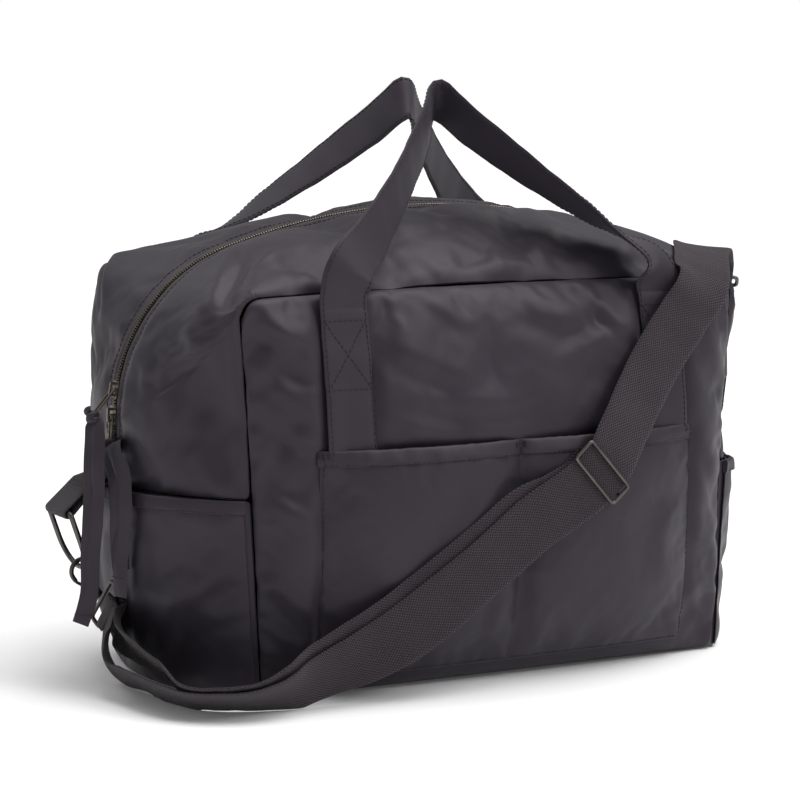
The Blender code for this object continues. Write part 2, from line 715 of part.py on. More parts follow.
# ---- shoulder strap -----------------------------------------------------------------------------
# From the right eye over the shoulder of the bag and down its front to the tri-glide. Each row is
# the middle of the webbing and the direction from its left or upper edge to the other edge.
UPPER_ROUTE = [
    ((0.2405, -0.0330, 0.2990), (0.85, -0.50, -0.10)),
    ((0.2200, -0.0600, 0.3085), (0.90, -0.35, -0.10)),
    ((0.1985, -0.0880, 0.3080), (0.95, -0.25, -0.16)),
    ((0.1815, -0.1180, 0.2985), (0.97, 0.00, -0.22)),
    ((0.1720, -0.1325, 0.2890), (0.96, 0.10, -0.26)),
    ((0.1615, -0.1395, 0.2790), (0.95, 0.08, -0.31)),
    ((0.1490, -0.1425, 0.2660), (0.93, 0.02, -0.37)),
    ((0.1270, -0.1480, 0.2430), (0.88, 0.00, -0.47)),
    ((0.1010, -0.1570, 0.2125), (0.82, 0.00, -0.57)),
    ((0.0770, -0.1680, 0.1820), (0.75, 0.00, -0.66)),
    ((0.0625, -0.1719, 0.1623), (0.66, 0.00, -0.75)),
    ((0.0565, -0.1720, 0.1570), (0.66, 0.00, -0.75)),
]
# From the tri-glide down the front, flat under the bag's corner, and up to the left eye.
OUTER_ROUTE = [
    ((0.0565, -0.1720, 0.1570), (0.66, 0.00, -0.75)),
    ((0.0505, -0.1720, 0.1517), (0.66, 0.00, -0.75)),
    ((0.0300, -0.1717, 0.1385), (0.61, 0.00, -0.79)),
    ((0.0048, -0.1712, 0.1249), (0.60, 0.00, -0.80)),
    ((-0.0296, -0.1710, 0.1013), (0.58, 0.00, -0.81)),
    ((-0.0554, -0.1705, 0.0837), (0.57, 0.00, -0.82)),
    ((-0.0817, -0.1700, 0.0657), (0.56, -0.05, -0.83)),
    ((-0.1092, -0.1680, 0.0490), (0.50, -0.15, -0.85)),
    ((-0.1370, -0.1620, 0.0350), (0.36, -0.38, -0.85)),
    ((-0.1655, -0.1530, 0.0220), (0.15, -0.62, -0.70)),
    ((-0.1930, -0.1460, 0.0125), (-0.12, -0.88, -0.32)),
    ((-0.2180, -0.1385, 0.0062), (-0.45, -0.89, 0.00)),
    ((-0.2400, -0.1180, 0.0065), (-0.75, -0.65, -0.02)),
    ((-0.2540, -0.0960, 0.0100), (-0.90, -0.40, -0.05)),
    ((-0.2620, -0.0720, 0.0150), (-0.88, -0.30, -0.25)),
    ((-0.2670, -0.0480, 0.0205), (-0.75, -0.05, -0.62)),
    ((-0.2680, -0.0280, 0.0300), (-0.50, 0.40, -0.72)),
]


def route(rows):
    return [(Vector(centre), Vector(across).normalized()) for centre, across in rows]


def wrap(end, lead_in, lead_out):
    """Rows round the eye's bar, over the side nearest the hook, with a straight lead on each side."""
    out = -end.eye_way.cross(end.eye_bar_way)
    first = (end.eye + out * WRAP_RADIUS + end.eye_way * lead_in, end.eye_bar_way)
    last = (end.eye - out * WRAP_RADIUS + end.eye_way * lead_out, end.eye_bar_way)
    rows = []
    for k in range(7):
        turn = math.radians(180) * k / 6
        spoke = out * math.cos(turn) - end.eye_way * math.sin(turn)
        rows.append((end.eye + spoke * WRAP_RADIUS, end.eye_bar_way))
    return [first] + rows + [last]


def beside(rows, at_eye):
    """The inner strand: the same rows on the bag's side of the outer one, opening out towards the eye."""
    moved = []
    for k, (centre, across) in enumerate(rows):
        tangent = rows[min(k + 1, len(rows) - 1)][0] - rows[max(k - 1, 0)][0]
        outward = tangent.cross(across).normalized()
        share = k / (len(rows) - 1)
        lift = STRAND_LIFT + (at_eye - STRAND_LIFT) * smooth_step(3 * share - 2)
        moved.append((centre - outward * lift - across * 0.003 * smooth_step(4 * share), across))
    return moved


def make_triglide(end_loop_length):
    """The wire slide that sets the strap's length, with the strap's sewn end round its middle bar."""
    upper, lower = route(UPPER_ROUTE), route(OUTER_ROUTE)
    centre, across = lower[0]
    along = (lower[1][0] - upper[-2][0]).normalized()
    across = (across - along * across.dot(along)).normalized()
    outward = along.cross(across)
    face = centre + outward * (STRAP_THICK / 2 + GAP + SLIDE_WIRE)
    half, reach = across * SLIDE_HALF, along * SLIDE_REACH
    frame = [face - half - reach, face + half - reach, face + half + reach, face - half + reach]
    wire("triglide_frame", frame, SLIDE_WIRE, "hardware", closed=True, pivot=centre)
    bar = centre - outward * 0.0056
    wire("triglide_bar", [bar - half, bar + half], SLIDE_WIRE, "hardware", pivot=centre)
    radius = SLIDE_WIRE + 0.0004 + STRAP_THICK / 2
    rows = [(bar + along * end_loop_length - outward * radius, across)]
    for k in range(7):
        turn = math.radians(180) * k / 6
        rows.append((bar - (outward * math.cos(turn) + along * math.sin(turn)) * radius, across))
    rows.append((bar + along * end_loop_length + outward * radius, across))
    ribbon("strap_end_loop", rows, STRAP_WIDTH, STRAP_THICK, "webbing", pivot=centre)
    return bar + along * (end_loop_length + 0.0006), across


def make_strap(skin):
    """The webbing in three runs that meet end to end: upper, outer and inner."""
    shared = {"width": STRAP_WIDTH, "thick": STRAP_THICK, "finish": "webbing", "columns": 4, "skin": skin}
    upper = fine_rows(wrap(RIGHT_END, 0.012, 0.008) + route(UPPER_ROUTE), 3)
    ribbon("strap_upper_run", upper, clear=0.0026, **shared)
    outer = route(OUTER_ROUTE)
    outer[0] = (outer[0][0].lerp(outer[1][0], 0.08), outer[0][1])
    turn = wrap(LEFT_END, 0.010, 0.002)
    run = fine_rows(outer + turn[:1], 3)
    ribbon("strap_outer_run", run[:-1] + fine_rows(turn, 3), clear=0.0056, **shared)
    start = make_triglide(0.016)
    ends = [(turn[-1][0] + LEFT_END.eye_way * reach, LEFT_END.eye_bar_way) for reach in (0.0076, 0.0006)]
    inner = [start] + beside(run[7:-1], 2 * WRAP_RADIUS) + ends
    ribbon("strap_inner_run", inner, clear=0.0018, **shared)


def main():
    clear_scene()
    skins = [make_body(), make_front_pocket(), make_end_pockets()]
    make_base()
    make_zip()
    make_handles()
    points, faces = [], []
    for found, made in skins:
        faces += [tuple(i + len(points) for i in f) for f in made]
        points += found
    for end in (LEFT_END, RIGHT_END):
        make_tab(end)
        make_ring(end)
        make_hook(end)
    make_strap(BVHTree.FromPolygons(points, faces))


main()
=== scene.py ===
"""The looks of the nylon weekender bag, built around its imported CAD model. Metres, +Z up, front at -Y."""

import json
import math
import random

import bpy
import numpy as np
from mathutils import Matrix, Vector
from mathutils.bvhtree import BVHTree


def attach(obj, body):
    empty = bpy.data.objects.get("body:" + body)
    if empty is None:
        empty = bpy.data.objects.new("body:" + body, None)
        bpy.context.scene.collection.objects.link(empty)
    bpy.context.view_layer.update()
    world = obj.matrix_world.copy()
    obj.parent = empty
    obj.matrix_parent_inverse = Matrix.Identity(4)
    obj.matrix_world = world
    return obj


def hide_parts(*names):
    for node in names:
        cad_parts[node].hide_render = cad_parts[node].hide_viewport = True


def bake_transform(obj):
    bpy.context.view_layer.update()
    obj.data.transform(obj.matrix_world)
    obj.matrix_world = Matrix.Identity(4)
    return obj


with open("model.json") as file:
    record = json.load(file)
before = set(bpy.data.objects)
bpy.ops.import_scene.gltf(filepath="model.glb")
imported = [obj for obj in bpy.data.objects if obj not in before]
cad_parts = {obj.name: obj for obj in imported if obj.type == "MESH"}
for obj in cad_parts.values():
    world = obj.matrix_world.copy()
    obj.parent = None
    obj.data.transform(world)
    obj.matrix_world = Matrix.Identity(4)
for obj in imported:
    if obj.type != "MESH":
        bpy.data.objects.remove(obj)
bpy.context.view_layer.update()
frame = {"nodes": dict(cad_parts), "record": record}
random.seed(7)
RNG = np.random.default_rng(7)

# ---- the bag's main lines, as the CAD model has them ----------------------------------------------
SEAM_Y = 0.118                                    # the front and back seams, from the middle
HALF_TOP, HALF_BOTTOM = 0.210, 0.196              # half the front panel's width, at its top and bottom
SEAM_SIDE_Z, SEAM_CORNER, SEAM_ARCH = 0.278, 0.015, 0.0045
FRONT_BULGE = 0.034
END_X, END_TUCK = 0.2566, 0.0196                  # the ends' reach, and how far they tuck in at the floor
ARC_Z, ARC_R, ARC_SWEEP = 0.195, 0.130, math.radians(72)
PUFF = 2.2
END_SEAM_Z = 0.1475
FLOOR_Z = 0.0014
POCKET_HALF, POCKET_BOTTOM, POCKET_TOP = 0.1576, 0.014, 0.1825
HANDLE_X, HANDLE_WIDTH, HANDLE_HINGE_Z = 0.133, 0.038, 0.283
BAG_MIDDLE = Vector((0, 0, 0.15))
X, Y = Vector((1, 0, 0)), Vector((0, 1, 0))

# ---- the cloth ---------------------------------------------------------------------------------------
SHELL_THICK, POCKET_THICK, END_POCKET_THICK = 0.0016, 0.0012, 0.0010
SHAKE = 0.00025              # random starting offset that lets the pressed cloth buckle
SEAM_INSET = 0.0030          # the seams lie this far inside the skin, so that both sides puff over them
PRESSURE, FRAMES, SPARE_CLOTH, MOST_SHIFT, BENDING = 0.4, 30, 0.035, 0.010, 0.15


# ---- camera, light and floor -----------------------------------------------------------------------
def look_along(obj, direction):
    obj.rotation_euler = Vector(direction).to_track_quat("-Z", "Y").to_euler()


def make_camera():
    camera = bpy.data.objects.new("camera", bpy.data.cameras.new("camera"))
    camera.location = (-1.10506, -2.02010, 0.4994)
    look_along(camera, (0.46966, 0.87299, -0.13156))
    camera.data.lens, camera.data.sensor_width = 135, 36
    camera.data.clip_start = 0.05
    bpy.context.scene.collection.objects.link(camera)
    bpy.context.scene.camera = camera


def make_light(name, kind, direction, place=(0, 0, 0), **values):
    lamp = bpy.data.lights.new(name, kind)
    for key, value in values.items():
        setattr(lamp, key, value)
    obj = bpy.data.objects.new(name, lamp)
    obj.location = place
    look_along(obj, direction)
    bpy.context.scene.collection.objects.link(obj)


def area_light(name, place, target, size, power):
    make_light(name, "AREA", Vector(target) - Vector(place), place,
               shape="RECTANGLE", size=size[0], size_y=size[1], energy=power)


def make_world():
    """White where the camera looks past the floor, and a dim even light for everything else."""
    world = bpy.data.worlds.new("studio")
    world.use_nodes = True
    tree = world.node_tree
    behind, around = tree.nodes["Background"], tree.nodes.new("ShaderNodeBackground")
    behind.inputs["Color"].default_value = around.inputs["Color"].default_value = (1, 1, 1, 1)
    around.inputs["Strength"].default_value = 0.36
    seen, mixed = tree.nodes.new("ShaderNodeLightPath"), tree.nodes.new("ShaderNodeMixShader")
    tree.links.new(seen.outputs["Is Camera Ray"], mixed.inputs["Fac"])
    tree.links.new(around.outputs[0], mixed.inputs[1])
    tree.links.new(behind.outputs[0], mixed.inputs[2])
    tree.links.new(mixed.outputs[0], tree.nodes["World Output"].inputs["Surface"])
    bpy.context.scene.world = world


def make_floor():
    mesh, reach = bpy.data.meshes.new("floor"), 9
    corners = [(-reach, -reach, 0), (reach, -reach, 0), (reach, reach, 0), (-reach, reach, 0)]
    mesh.from_pydata(corners, [], [(0, 1, 2, 3)])
    floor = bpy.data.objects.new("floor", mesh)
    bpy.context.scene.collection.objects.link(floor)
    paper = bpy.data.materials.new("floor_paper")
    paper.use_nodes = True
    values = {"Base Color": (0.95, 0.95, 0.95, 1), "Roughness": 0.95, "Specular IOR Level": 0.0,
              "Emission Color": (1, 1, 1, 1), "Emission Strength": 0.04}
    for socket, value in values.items():
        paper.node_tree.nodes["Principled BSDF"].inputs[socket].default_value = value
    mesh.materials.append(paper)


def make_studio():
    bpy.context.scene.view_settings.view_transform = "Standard"
    make_world()
    make_light("sun", "SUN", (-0.34, 0.10, -1.0), energy=2.6, angle=math.radians(55))
    area_light("key", (1.3, -2.0, 1.9), (0, 0, 0.15), (1.0, 0.8), 18)
    area_light("back", (-0.9, 1.3, 1.9), (-0.1, 0, 0.25), (1.4, 1.0), 7)
    make_floor()


make_camera()
make_studio()


# ---- materials -------------------------------------------------------------------------------------
class Shade:
    """Builds one material. Every pattern is drawn from the piece's own coordinates, in metres."""

    def __init__(self, name, colour, roughness, metallic=0.0, sheen=0.0, specular=0.5):
        self.material = bpy.data.materials.new(name)
        self.material.use_nodes = True
        self.nodes = self.material.node_tree.nodes
        self.links = self.material.node_tree.links
        self.shader = self.nodes["Principled BSDF"]
        glint = (1, 1, 1, 1) if metallic else (1.0, 0.93, 1.0, 1)
        values = {"Base Color": (*colour, 1), "Roughness": roughness, "Metallic": metallic,
                  "Specular Tint": glint, "Specular IOR Level": specular,
                  "Sheen Weight": sheen, "Sheen Roughness": 0.45}
        for socket, value in values.items():
            self.shader.inputs[socket].default_value = value
        self.colour = colour
        self.height = None

    def node(self, kind, **values):
        made = self.nodes.new(kind)
        for key, value in values.items():
            if key in made.inputs:
                made.inputs[key].default_value = value
            else:
                setattr(made, key, value)
        return made

    def link(self, source, target):
        self.links.new(source, target)

    def place(self, kind):
        return self.node("ShaderNodeTexCoord").outputs[kind]

    def noise(self, scale, detail=3.0, stretch=(1, 1, 1)):
        move = self.node("ShaderNodeMapping", Scale=stretch)
        self.link(self.place("Object"), move.inputs["Vector"])
        made = self.node("ShaderNodeTexNoise", Scale=scale, Detail=detail)
        self.link(move.outputs["Vector"], made.inputs["Vector"])
        return made.outputs["Fac"]

    def maths(self, operation, a, b):
        made = self.node("ShaderNodeMath", operation=operation)
        for socket, value in zip(made.inputs, (a, b)):
            if isinstance(value, (int, float)):
                socket.default_value = value
            else:
                self.link(value, socket)
        return made.outputs[0]

    def tint(self, factor, low, high):
        """The base colour goes from low to high times itself as the factor goes from 0 to 1."""
        ramp = self.node("ShaderNodeValToRGB")
        for stop, gain in zip(ramp.color_ramp.elements, (low, high)):
            stop.color = (*[min(c * gain, 1) for c in self.colour], 1)
        ramp.color_ramp.elements[0].position = 0.3
        ramp.color_ramp.elements[1].position = 0.7
        self.link(factor, ramp.inputs["Fac"])
        self.link(ramp.outputs["Color"], self.shader.inputs["Base Color"])
        return self

    def rough(self, factor, low, high):
        scale = self.node("ShaderNodeMapRange", **{"To Min": low, "To Max": high})
        self.link(factor, scale.inputs["Value"])
        self.link(scale.outputs["Result"], self.shader.inputs["Roughness"])
        return self

    def bump(self, height, distance, strength=1.0):
        made = self.node("ShaderNodeBump", Distance=distance, Strength=strength)
        self.link(height, made.inputs["Height"])
        if self.height:
            self.link(self.height, made.inputs["Normal"])
        self.height = made.outputs["Normal"]
        self.link(self.height, self.shader.inputs["Normal"])
        return self


def nylon(name, colour, roughness=0.50):
    """Tightly woven satin nylon: a fine twill grain, faint cloudiness, and small creases."""
    shade = Shade(name, colour, roughness, sheen=0.05, specular=0.30)
    shade.tint(shade.noise(9, 4), 0.88, 1.14)
    shade.rough(shade.noise(30, 3), roughness - 0.05, roughness + 0.07)
    shade.bump(shade.noise(24, 3, (1, 1, 1.6)), 0.0011, 0.30)
    shade.bump(shade.noise(160, 2), 0.00030, 0.3)
    return shade.bump(shade.noise(2600, 1, (1, 1, 0.5)), 0.00006, 0.5).material


def webbing(name, colour):
    """Heavy flat webbing: a basket weave of small beads, from the band's own lengthwise map."""
    shade = Shade(name, colour, 0.82, sheen=0.12, specular=0.22)
    split = shade.node("ShaderNodeSeparateXYZ")
    shade.link(shade.place("UV"), split.inputs[0])

    def waves(axis, spacing):
        return shade.maths("SINE", shade.maths("MULTIPLY", split.outputs[axis], math.pi / spacing), 0)

    def mixture(one, one_share, two, two_share):
        scaled = [shade.maths("MULTIPLY", *pair) for pair in ((one, one_share), (two, two_share))]
        return shade.maths("ADD", *scaled)

    warps, picks = waves("Y", 0.00125), waves("X", 0.00145)
    beads = shade.maths("MULTIPLY", picks, warps)
    weave = shade.maths("ADD", mixture(beads, 0.36, shade.maths("ABSOLUTE", warps, 0), 0.22), 0.38)
    fuzz = shade.noise(1500, 2)
    shade.tint(mixture(weave, 0.8, fuzz, 0.2), 0.42, 1.75)
    shade.bump(weave, 0.0008, 1.0)
    shade.bump(fuzz, 0.00015, 0.6)
    return shade.bump(shade.noise(24, 3), 0.0006, 0.5).material


def metal(name, colour, roughness):
    shade = Shade(name, colour, roughness, metallic=1.0)
    shade.tint(shade.noise(70, 4), 0.72, 1.22)
    shade.rough(shade.noise(220, 3), roughness - 0.08, roughness + 0.14)
    return shade.bump(shade.noise(900, 2), 0.00004, 0.5).material


def plain_cloth(name, colour, roughness, grain):
    shade = Shade(name, colour, roughness, sheen=0.1, specular=0.3)
    shade.tint(shade.noise(120, 3), 0.8, 1.2)
    return shade.bump(shade.noise(grain, 2), 0.00012, 0.6).material


FINISH = {
    "nylon": nylon("nylon_shell", (0.0232, 0.0188, 0.0262)),
    "nylon_edge": nylon("nylon_band", (0.0262, 0.0214, 0.0294), 0.58),
    "webbing": webbing("strap_webbing", (0.0285, 0.0222, 0.0272)),
    "lining": plain_cloth("lining_cloth", (0.012, 0.011, 0.013), 0.6, 900),
    "board": plain_cloth("base_board_plastic", (0.012, 0.012, 0.012), 0.5, 400),
    "zip_tape": plain_cloth("zip_tape_weave", (0.013, 0.012, 0.0135), 0.8, 1800),
    "zip_metal": metal("zip_metal", (0.15, 0.130, 0.108), 0.34),
    "hardware": metal("pewter_hardware", (0.105, 0.098, 0.092), 0.36),
    "thread": plain_cloth("thread", (0.0165, 0.0142, 0.0182), 0.55, 2500),
}
for entry in frame["record"]["subparts"]:
    held = frame["nodes"].get(entry["node"])
    if held:
        held.data.materials.clear()
        held.data.materials.append(FINISH[entry["material_slot"]])


# ---- mesh helpers ----------------------------------------------------------------------------------
def piece(name, points, faces, finish, body="bag", replaces=(), uvs=None, sharp=50.0):
    """A finished mesh piece that rides on a body. uvs gives one (along, side) in metres for each point."""
    mesh = bpy.data.meshes.new(name)
    mesh.from_pydata([tuple(p) for p in points], [], faces)
    if uvs is not None:
        layer = mesh.uv_layers.new(name="along")
        for loop in mesh.loops:
            layer.data[loop.index].uv = uvs[loop.vertex_index]
    mesh.shade_smooth()
    mesh.set_sharp_from_angle(angle=math.radians(sharp))
    mesh.materials.append(FINISH[finish])
    obj = bpy.data.objects.new(name, mesh)
    bpy.context.scene.collection.objects.link(obj)
    if body:
        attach(obj, body)
    if replaces:
        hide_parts(*replaces)
    return obj


def grid_faces(rows, columns, start=0, flip=False):
    found = []
    for r in range(rows - 1):
        for c in range(columns - 1):
            a = start + r * columns + c
            quad = (a, a + 1, a + columns + 1, a + columns)
            found.append(tuple(reversed(quad)) if flip else quad)
    return found


def closed_grid(outer, inner, flip=False):
    """Points and faces of a closed sheet with these two grids of points as its sides."""
    rows, columns = len(outer), len(outer[0])
    count = rows * columns
    faces = grid_faces(rows, columns, 0, not flip) + grid_faces(rows, columns, count, flip)
    rim = list(range(columns)) + [r * columns + columns - 1 for r in range(1, rows)]
    rim += [(rows - 1) * columns + c for c in range(columns - 2, -1, -1)]
    rim += [r * columns for r in range(rows - 2, 0, -1)]
    for a, b in zip(rim, rim[1:] + rim[:1]):
        quad = (a, b, b + count, a + count)
        faces.append(tuple(reversed(quad)) if flip else quad)
    return [p for side in (outer, inner) for row in side for p in row], faces


def stacked(rings):
    """Points and faces of a closed solid through rings of points, which all have the same count."""
    sides, faces = len(rings[0]), []
    for r in range(len(rings) - 1):
        for j in range(sides):
            a, b = r * sides + j, r * sides + (j + 1) % sides
            faces.append((a, b, b + sides, a + sides))
    last = (len(rings) - 1) * sides
    faces += [tuple(reversed(range(sides))), tuple(range(last, last + sides))]
    return [p for ring in rings for p in ring], faces


def as_array(rows):
    return np.array([[tuple(p) for p in row] for row in rows])


def turned_in(grid):
    """Whether a face that runs along the grid's columns and then its rows faces into the bag."""
    r, c = grid.shape[0] // 2, grid.shape[1] // 2
    across, down = grid[r, c + 1] - grid[r, c], grid[r + 1, c] - grid[r, c]
    return np.dot(np.cross(across, down), grid[r, c] - np.array(BAG_MIDDLE)) < 0


# ---- the bag's skin before its wrinkles --------------------------------------------------------------
def smooth_step(t):
    t = min(max(t, 0.0), 1.0)
    return t * t * (3 - 2 * t)


def seam_half(z):
    return HALF_BOTTOM + (HALF_TOP - HALF_BOTTOM) * min(max(z / SEAM_SIDE_Z, 0.0), 1.0)


def top_seam_z(x):
    return SEAM_SIDE_Z + SEAM_CORNER + SEAM_ARCH * (1 - (x / HALF_TOP) ** 2)


def crown_at(turn):
    normal = Vector((-math.cos(turn), 0, math.sin(turn)))
    return Vector((ARC_R - END_X, 0, ARC_Z)) + normal * ARC_R, normal


def end_x(z):
    return END_X - END_TUCK * (max(ARC_Z - z, 0.0) / ARC_Z) ** 2


def drawn_in(point):
    """The photo shows the right end flatter than the left: points out there move towards the bag."""
    shift = 0.015 * smooth_step((point.x - 0.212) / 0.035) * smooth_step((0.285 - point.z) / 0.10)
    return Vector((point.x - shift, point.y, point.z))


def lower_ribs(count):
    """(seam point, crown point, inward way) of the end panel's ribs, from the floor up."""
    heights = [FLOOR_Z + (END_SEAM_Z - FLOOR_Z) * k / (count - 1) for k in range(count)]
    return [(Vector((-seam_half(z), 0, z)), Vector((-end_x(z), 0, z)), X) for z in heights]


def upper_ribs(side, arc, dome):
    """The ribs of the zipped top, from the left end seam to the middle of the dome."""
    ribs = []
    for k in range(side):
        seam_z = END_SEAM_Z + (SEAM_SIDE_Z - END_SEAM_Z) * k / side
        crown_z = END_SEAM_Z + (ARC_Z - END_SEAM_Z) * k / side
        seam = Vector((-seam_half(seam_z), 0, seam_z))
        ribs.append((seam, Vector((-end_x(crown_z), 0, crown_z)), X))
    for k in range(arc):
        crown, normal = crown_at(ARC_SWEEP * k / (arc - 1))
        bend = math.radians(90) * k / (arc - 1)
        seam = Vector((SEAM_CORNER - HALF_TOP, 0, SEAM_SIDE_Z))
        seam += Vector((-math.cos(bend), 0, math.sin(bend))) * SEAM_CORNER
        seam.z += (top_seam_z(seam.x) - SEAM_SIDE_Z - SEAM_CORNER) * k / (arc - 1)
        ribs.append((seam, crown, -normal))
    edge, normal = crown_at(ARC_SWEEP)
    radius = -edge.x / math.cos(ARC_SWEEP)
    for k in range(1, dome + 1):
        lean = (math.radians(90) - ARC_SWEEP) * (1 - k / dome)
        outward = Vector((-math.sin(lean), 0, math.cos(lean)))
        x = (SEAM_CORNER - HALF_TOP) * (1 - k / dome)
        ribs.append((Vector((x, 0, top_seam_z(x))), edge + (outward - normal) * radius, -outward))
    return ribs


def mirrored_ribs(ribs):
    flip = Vector((-1, 1, 1))
    return [tuple(Vector(p * q for p, q in zip(v, flip)) for v in rib) for rib in reversed(ribs)]


def skin_point(rib, y, depth=0.0):
    seam, crown, inward = rib
    point = seam.lerp(crown, 1 - (abs(y) / SEAM_Y) ** PUFF) + inward * depth
    point.y = y
    return point


def bulge_at(x, z):
    across = min(abs(x) / seam_half(z), 1.0)
    up = min(max((z - FLOOR_Z) / (top_seam_z(x) - FLOOR_Z), 0.0), 1.0)
    return FRONT_BULGE * (1 - across**3) * math.sin(math.pi * up**0.8) ** 0.7


def front_y(x, z):
    return -SEAM_Y - bulge_at(x, z)


def panel_top(x):
    over = abs(x) - (HALF_TOP - SEAM_CORNER)
    drop = SEAM_CORNER - math.sqrt(max(SEAM_CORNER**2 - over**2, 0.0)) if over > 0 else 0.0
    return top_seam_z(x) - drop


def panel_point(u, v):
    """A point of the front panel, with u from -1 to 1 across it and v from 0 to 1 up it."""
    x = u * seam_half(FLOOR_Z + v * 0.29)
    z = FLOOR_Z + v * (panel_top(x) - FLOOR_Z)
    point = Vector((x, front_y(x, z), z))
    if abs(u) == 1 or v in (0, 1):
        point.y = SEAM_INSET - SEAM_Y
        inward = Vector((-x, 0, 0.15 - z)).normalized() * SEAM_INSET
        if v > 0:
            point += inward
    return point


def gusset_point(rib, y):
    point = skin_point(rib, y)
    if abs(y) > SEAM_Y - 0.0001:
        point += Vector((-point.x, 0, 0.15 - point.z)).normalized() * SEAM_INSET
        point.y = math.copysign(SEAM_Y - SEAM_INSET, y)
    return point


# ---- cloth simulation --------------------------------------------------------------------------------
def relax(sheets):
    """Blows the sheets up as pinned cloth with a little spare material, so that they crease and pucker.

    Each sheet is (grid of points, the sides that are held, share of the spare cloth).
    """
    points = np.concatenate([grid.reshape(-1, 3) for grid, _, _ in sheets])
    faces, held, shares, parts = [], [], [], []
    for grid, rims, share in sheets:
        rows, columns, start = *grid.shape[:2], len(shares)
        index = np.arange(start, start + rows * columns).reshape(rows, columns)
        sides = {"first": index[0], "last": index[-1], "left": index[:, 0], "right": index[:, -1],
                 "middle": index[:, columns // 2]}
        held += [int(k) for rim in rims for k in sides[rim]]
        faces += grid_faces(rows, columns, start, turned_in(grid))
        shares += [share] * (rows * columns)
        parts.append(index)
    shaken = points + RNG.normal(0, SHAKE, points.shape)
    shaken[held] = points[held]
    mesh = bpy.data.meshes.new("relaxing")
    mesh.from_pydata(shaken.tolist(), [], faces)
    cloth = bpy.data.objects.new("relaxing", mesh)
    bpy.context.scene.collection.objects.link(cloth)
    cloth.vertex_groups.new(name="held").add(held, 1.0, "REPLACE")
    taut = cloth.vertex_groups.new(name="taut")
    for index, share in enumerate(shares):
        taut.add([index], 1.0 - share, "REPLACE")
    made = cloth.modifiers.new("cloth", "CLOTH")
    values = {"quality": 5, "mass": 0.25, "air_damping": 2.0, "bending_stiffness": BENDING,
              "tension_stiffness": 18, "compression_stiffness": 18, "shear_stiffness": 8,
              "tension_damping": 8, "compression_damping": 8,
              "vertex_group_mass": "held", "vertex_group_shrink": "taut",
              "shrink_min": -SPARE_CLOTH, "shrink_max": 0.0,
              "use_pressure": True, "uniform_pressure_force": PRESSURE}
    for key, value in values.items():
        setattr(made.settings, key, value)
    made.settings.effector_weights.gravity = 0
    made.collision_settings.use_collision = False
    made.point_cache.frame_start, made.point_cache.frame_end = 1, FRAMES
    for step in range(1, FRAMES + 1):
        bpy.context.scene.frame_set(step)
    found = cloth.evaluated_get(bpy.context.evaluated_depsgraph_get()).to_mesh()
    shift = np.array([v.co for v in found.vertices]) - points
    bpy.data.objects.remove(cloth, do_unlink=True)
    bpy.context.scene.frame_set(1)
    length = np.linalg.norm(shift, axis=1, keepdims=True)
    shift *= MOST_SHIFT * np.tanh(length / MOST_SHIFT) / np.maximum(length, 1e-9)
    return [(points + shift)[index] for index in parts]


# ---- bands, wires and stitches -----------------------------------------------------------------------
LEAST_Z = 0.0013             # the middle of a band's thickness lies no lower than this


def spline_points(stations, spans, steps):
    """Smooth points through the stations. The spans are the distances from each station to the next."""
    legs = [(b - a) / span for a, b, span in zip(stations, stations[1:], spans)]
    slopes = [legs[0]]
    for leg_in, leg_out, span_in, span_out in zip(legs, legs[1:], spans, spans[1:]):
        slopes.append((leg_in * span_out + leg_out * span_in) / (span_in + span_out))
    slopes.append(legs[-1])
    found = []
    for k, span in enumerate(spans):
        a, b, out, into = stations[k], stations[k + 1], slopes[k] * span, slopes[k + 1] * span
        for j in range(steps):
            t = j / steps
            ease = t * t * (3 - 2 * t)
            found.append(a * (1 - ease) + b * ease + out * t * (1 - t) ** 2 - into * t**2 * (1 - t))
    return found + [stations[-1].copy()]


def fine_rows(stations, steps):
    """The (centre, across) stations with this many steps between each two."""
    spans = [(b[0] - a[0]).length for a, b in zip(stations, stations[1:])]
    centres = spline_points([centre for centre, _ in stations], spans, steps)
    acrosses = spline_points([across.normalized() for _, across in stations], spans, steps)
    return list(zip(centres, acrosses))


def heading(rows, k):
    """The way along the rows at row k."""
    return (rows[min(k + 1, len(rows) - 1)][0] - rows[max(k - 1, 0)][0]).normalized()


def squared(rows):
    """(centre, across, normal) of each row, with across square to the way along."""
    for k, (centre, across) in enumerate(rows):
        tangent = heading(rows, k)
        across = (across - tangent * across.dot(tangent)).normalized()
        yield centre, across, tangent.cross(across)


def even_points(points, spacing):
    """Points at this spacing along a polyline, with the way along it at each."""
    found, left = [], 0.0
    for a, b in zip(points, points[1:]):
        length = (b - a).length
        while left < length:
            found.append((a.lerp(b, left / length), (b - a) / length))
            left += spacing
        left -= length
    return found


def push_clear(point, clear, skin, near=0.03):
    """Moves a point that is inside the skin, or nearer to it than the clearance, out to the clearance."""
    place, normal, _, _ = skin.find_nearest(point)
    if (point - place).length > near:
        return point
    if normal.dot(place - BAG_MIDDLE) < 0:
        normal = -normal
    away = point - place
    stand = away.dot(normal)
    if stand >= clear or (away.length > clear and stand > -0.5 * away.length):
        return point
    return place + normal * clear


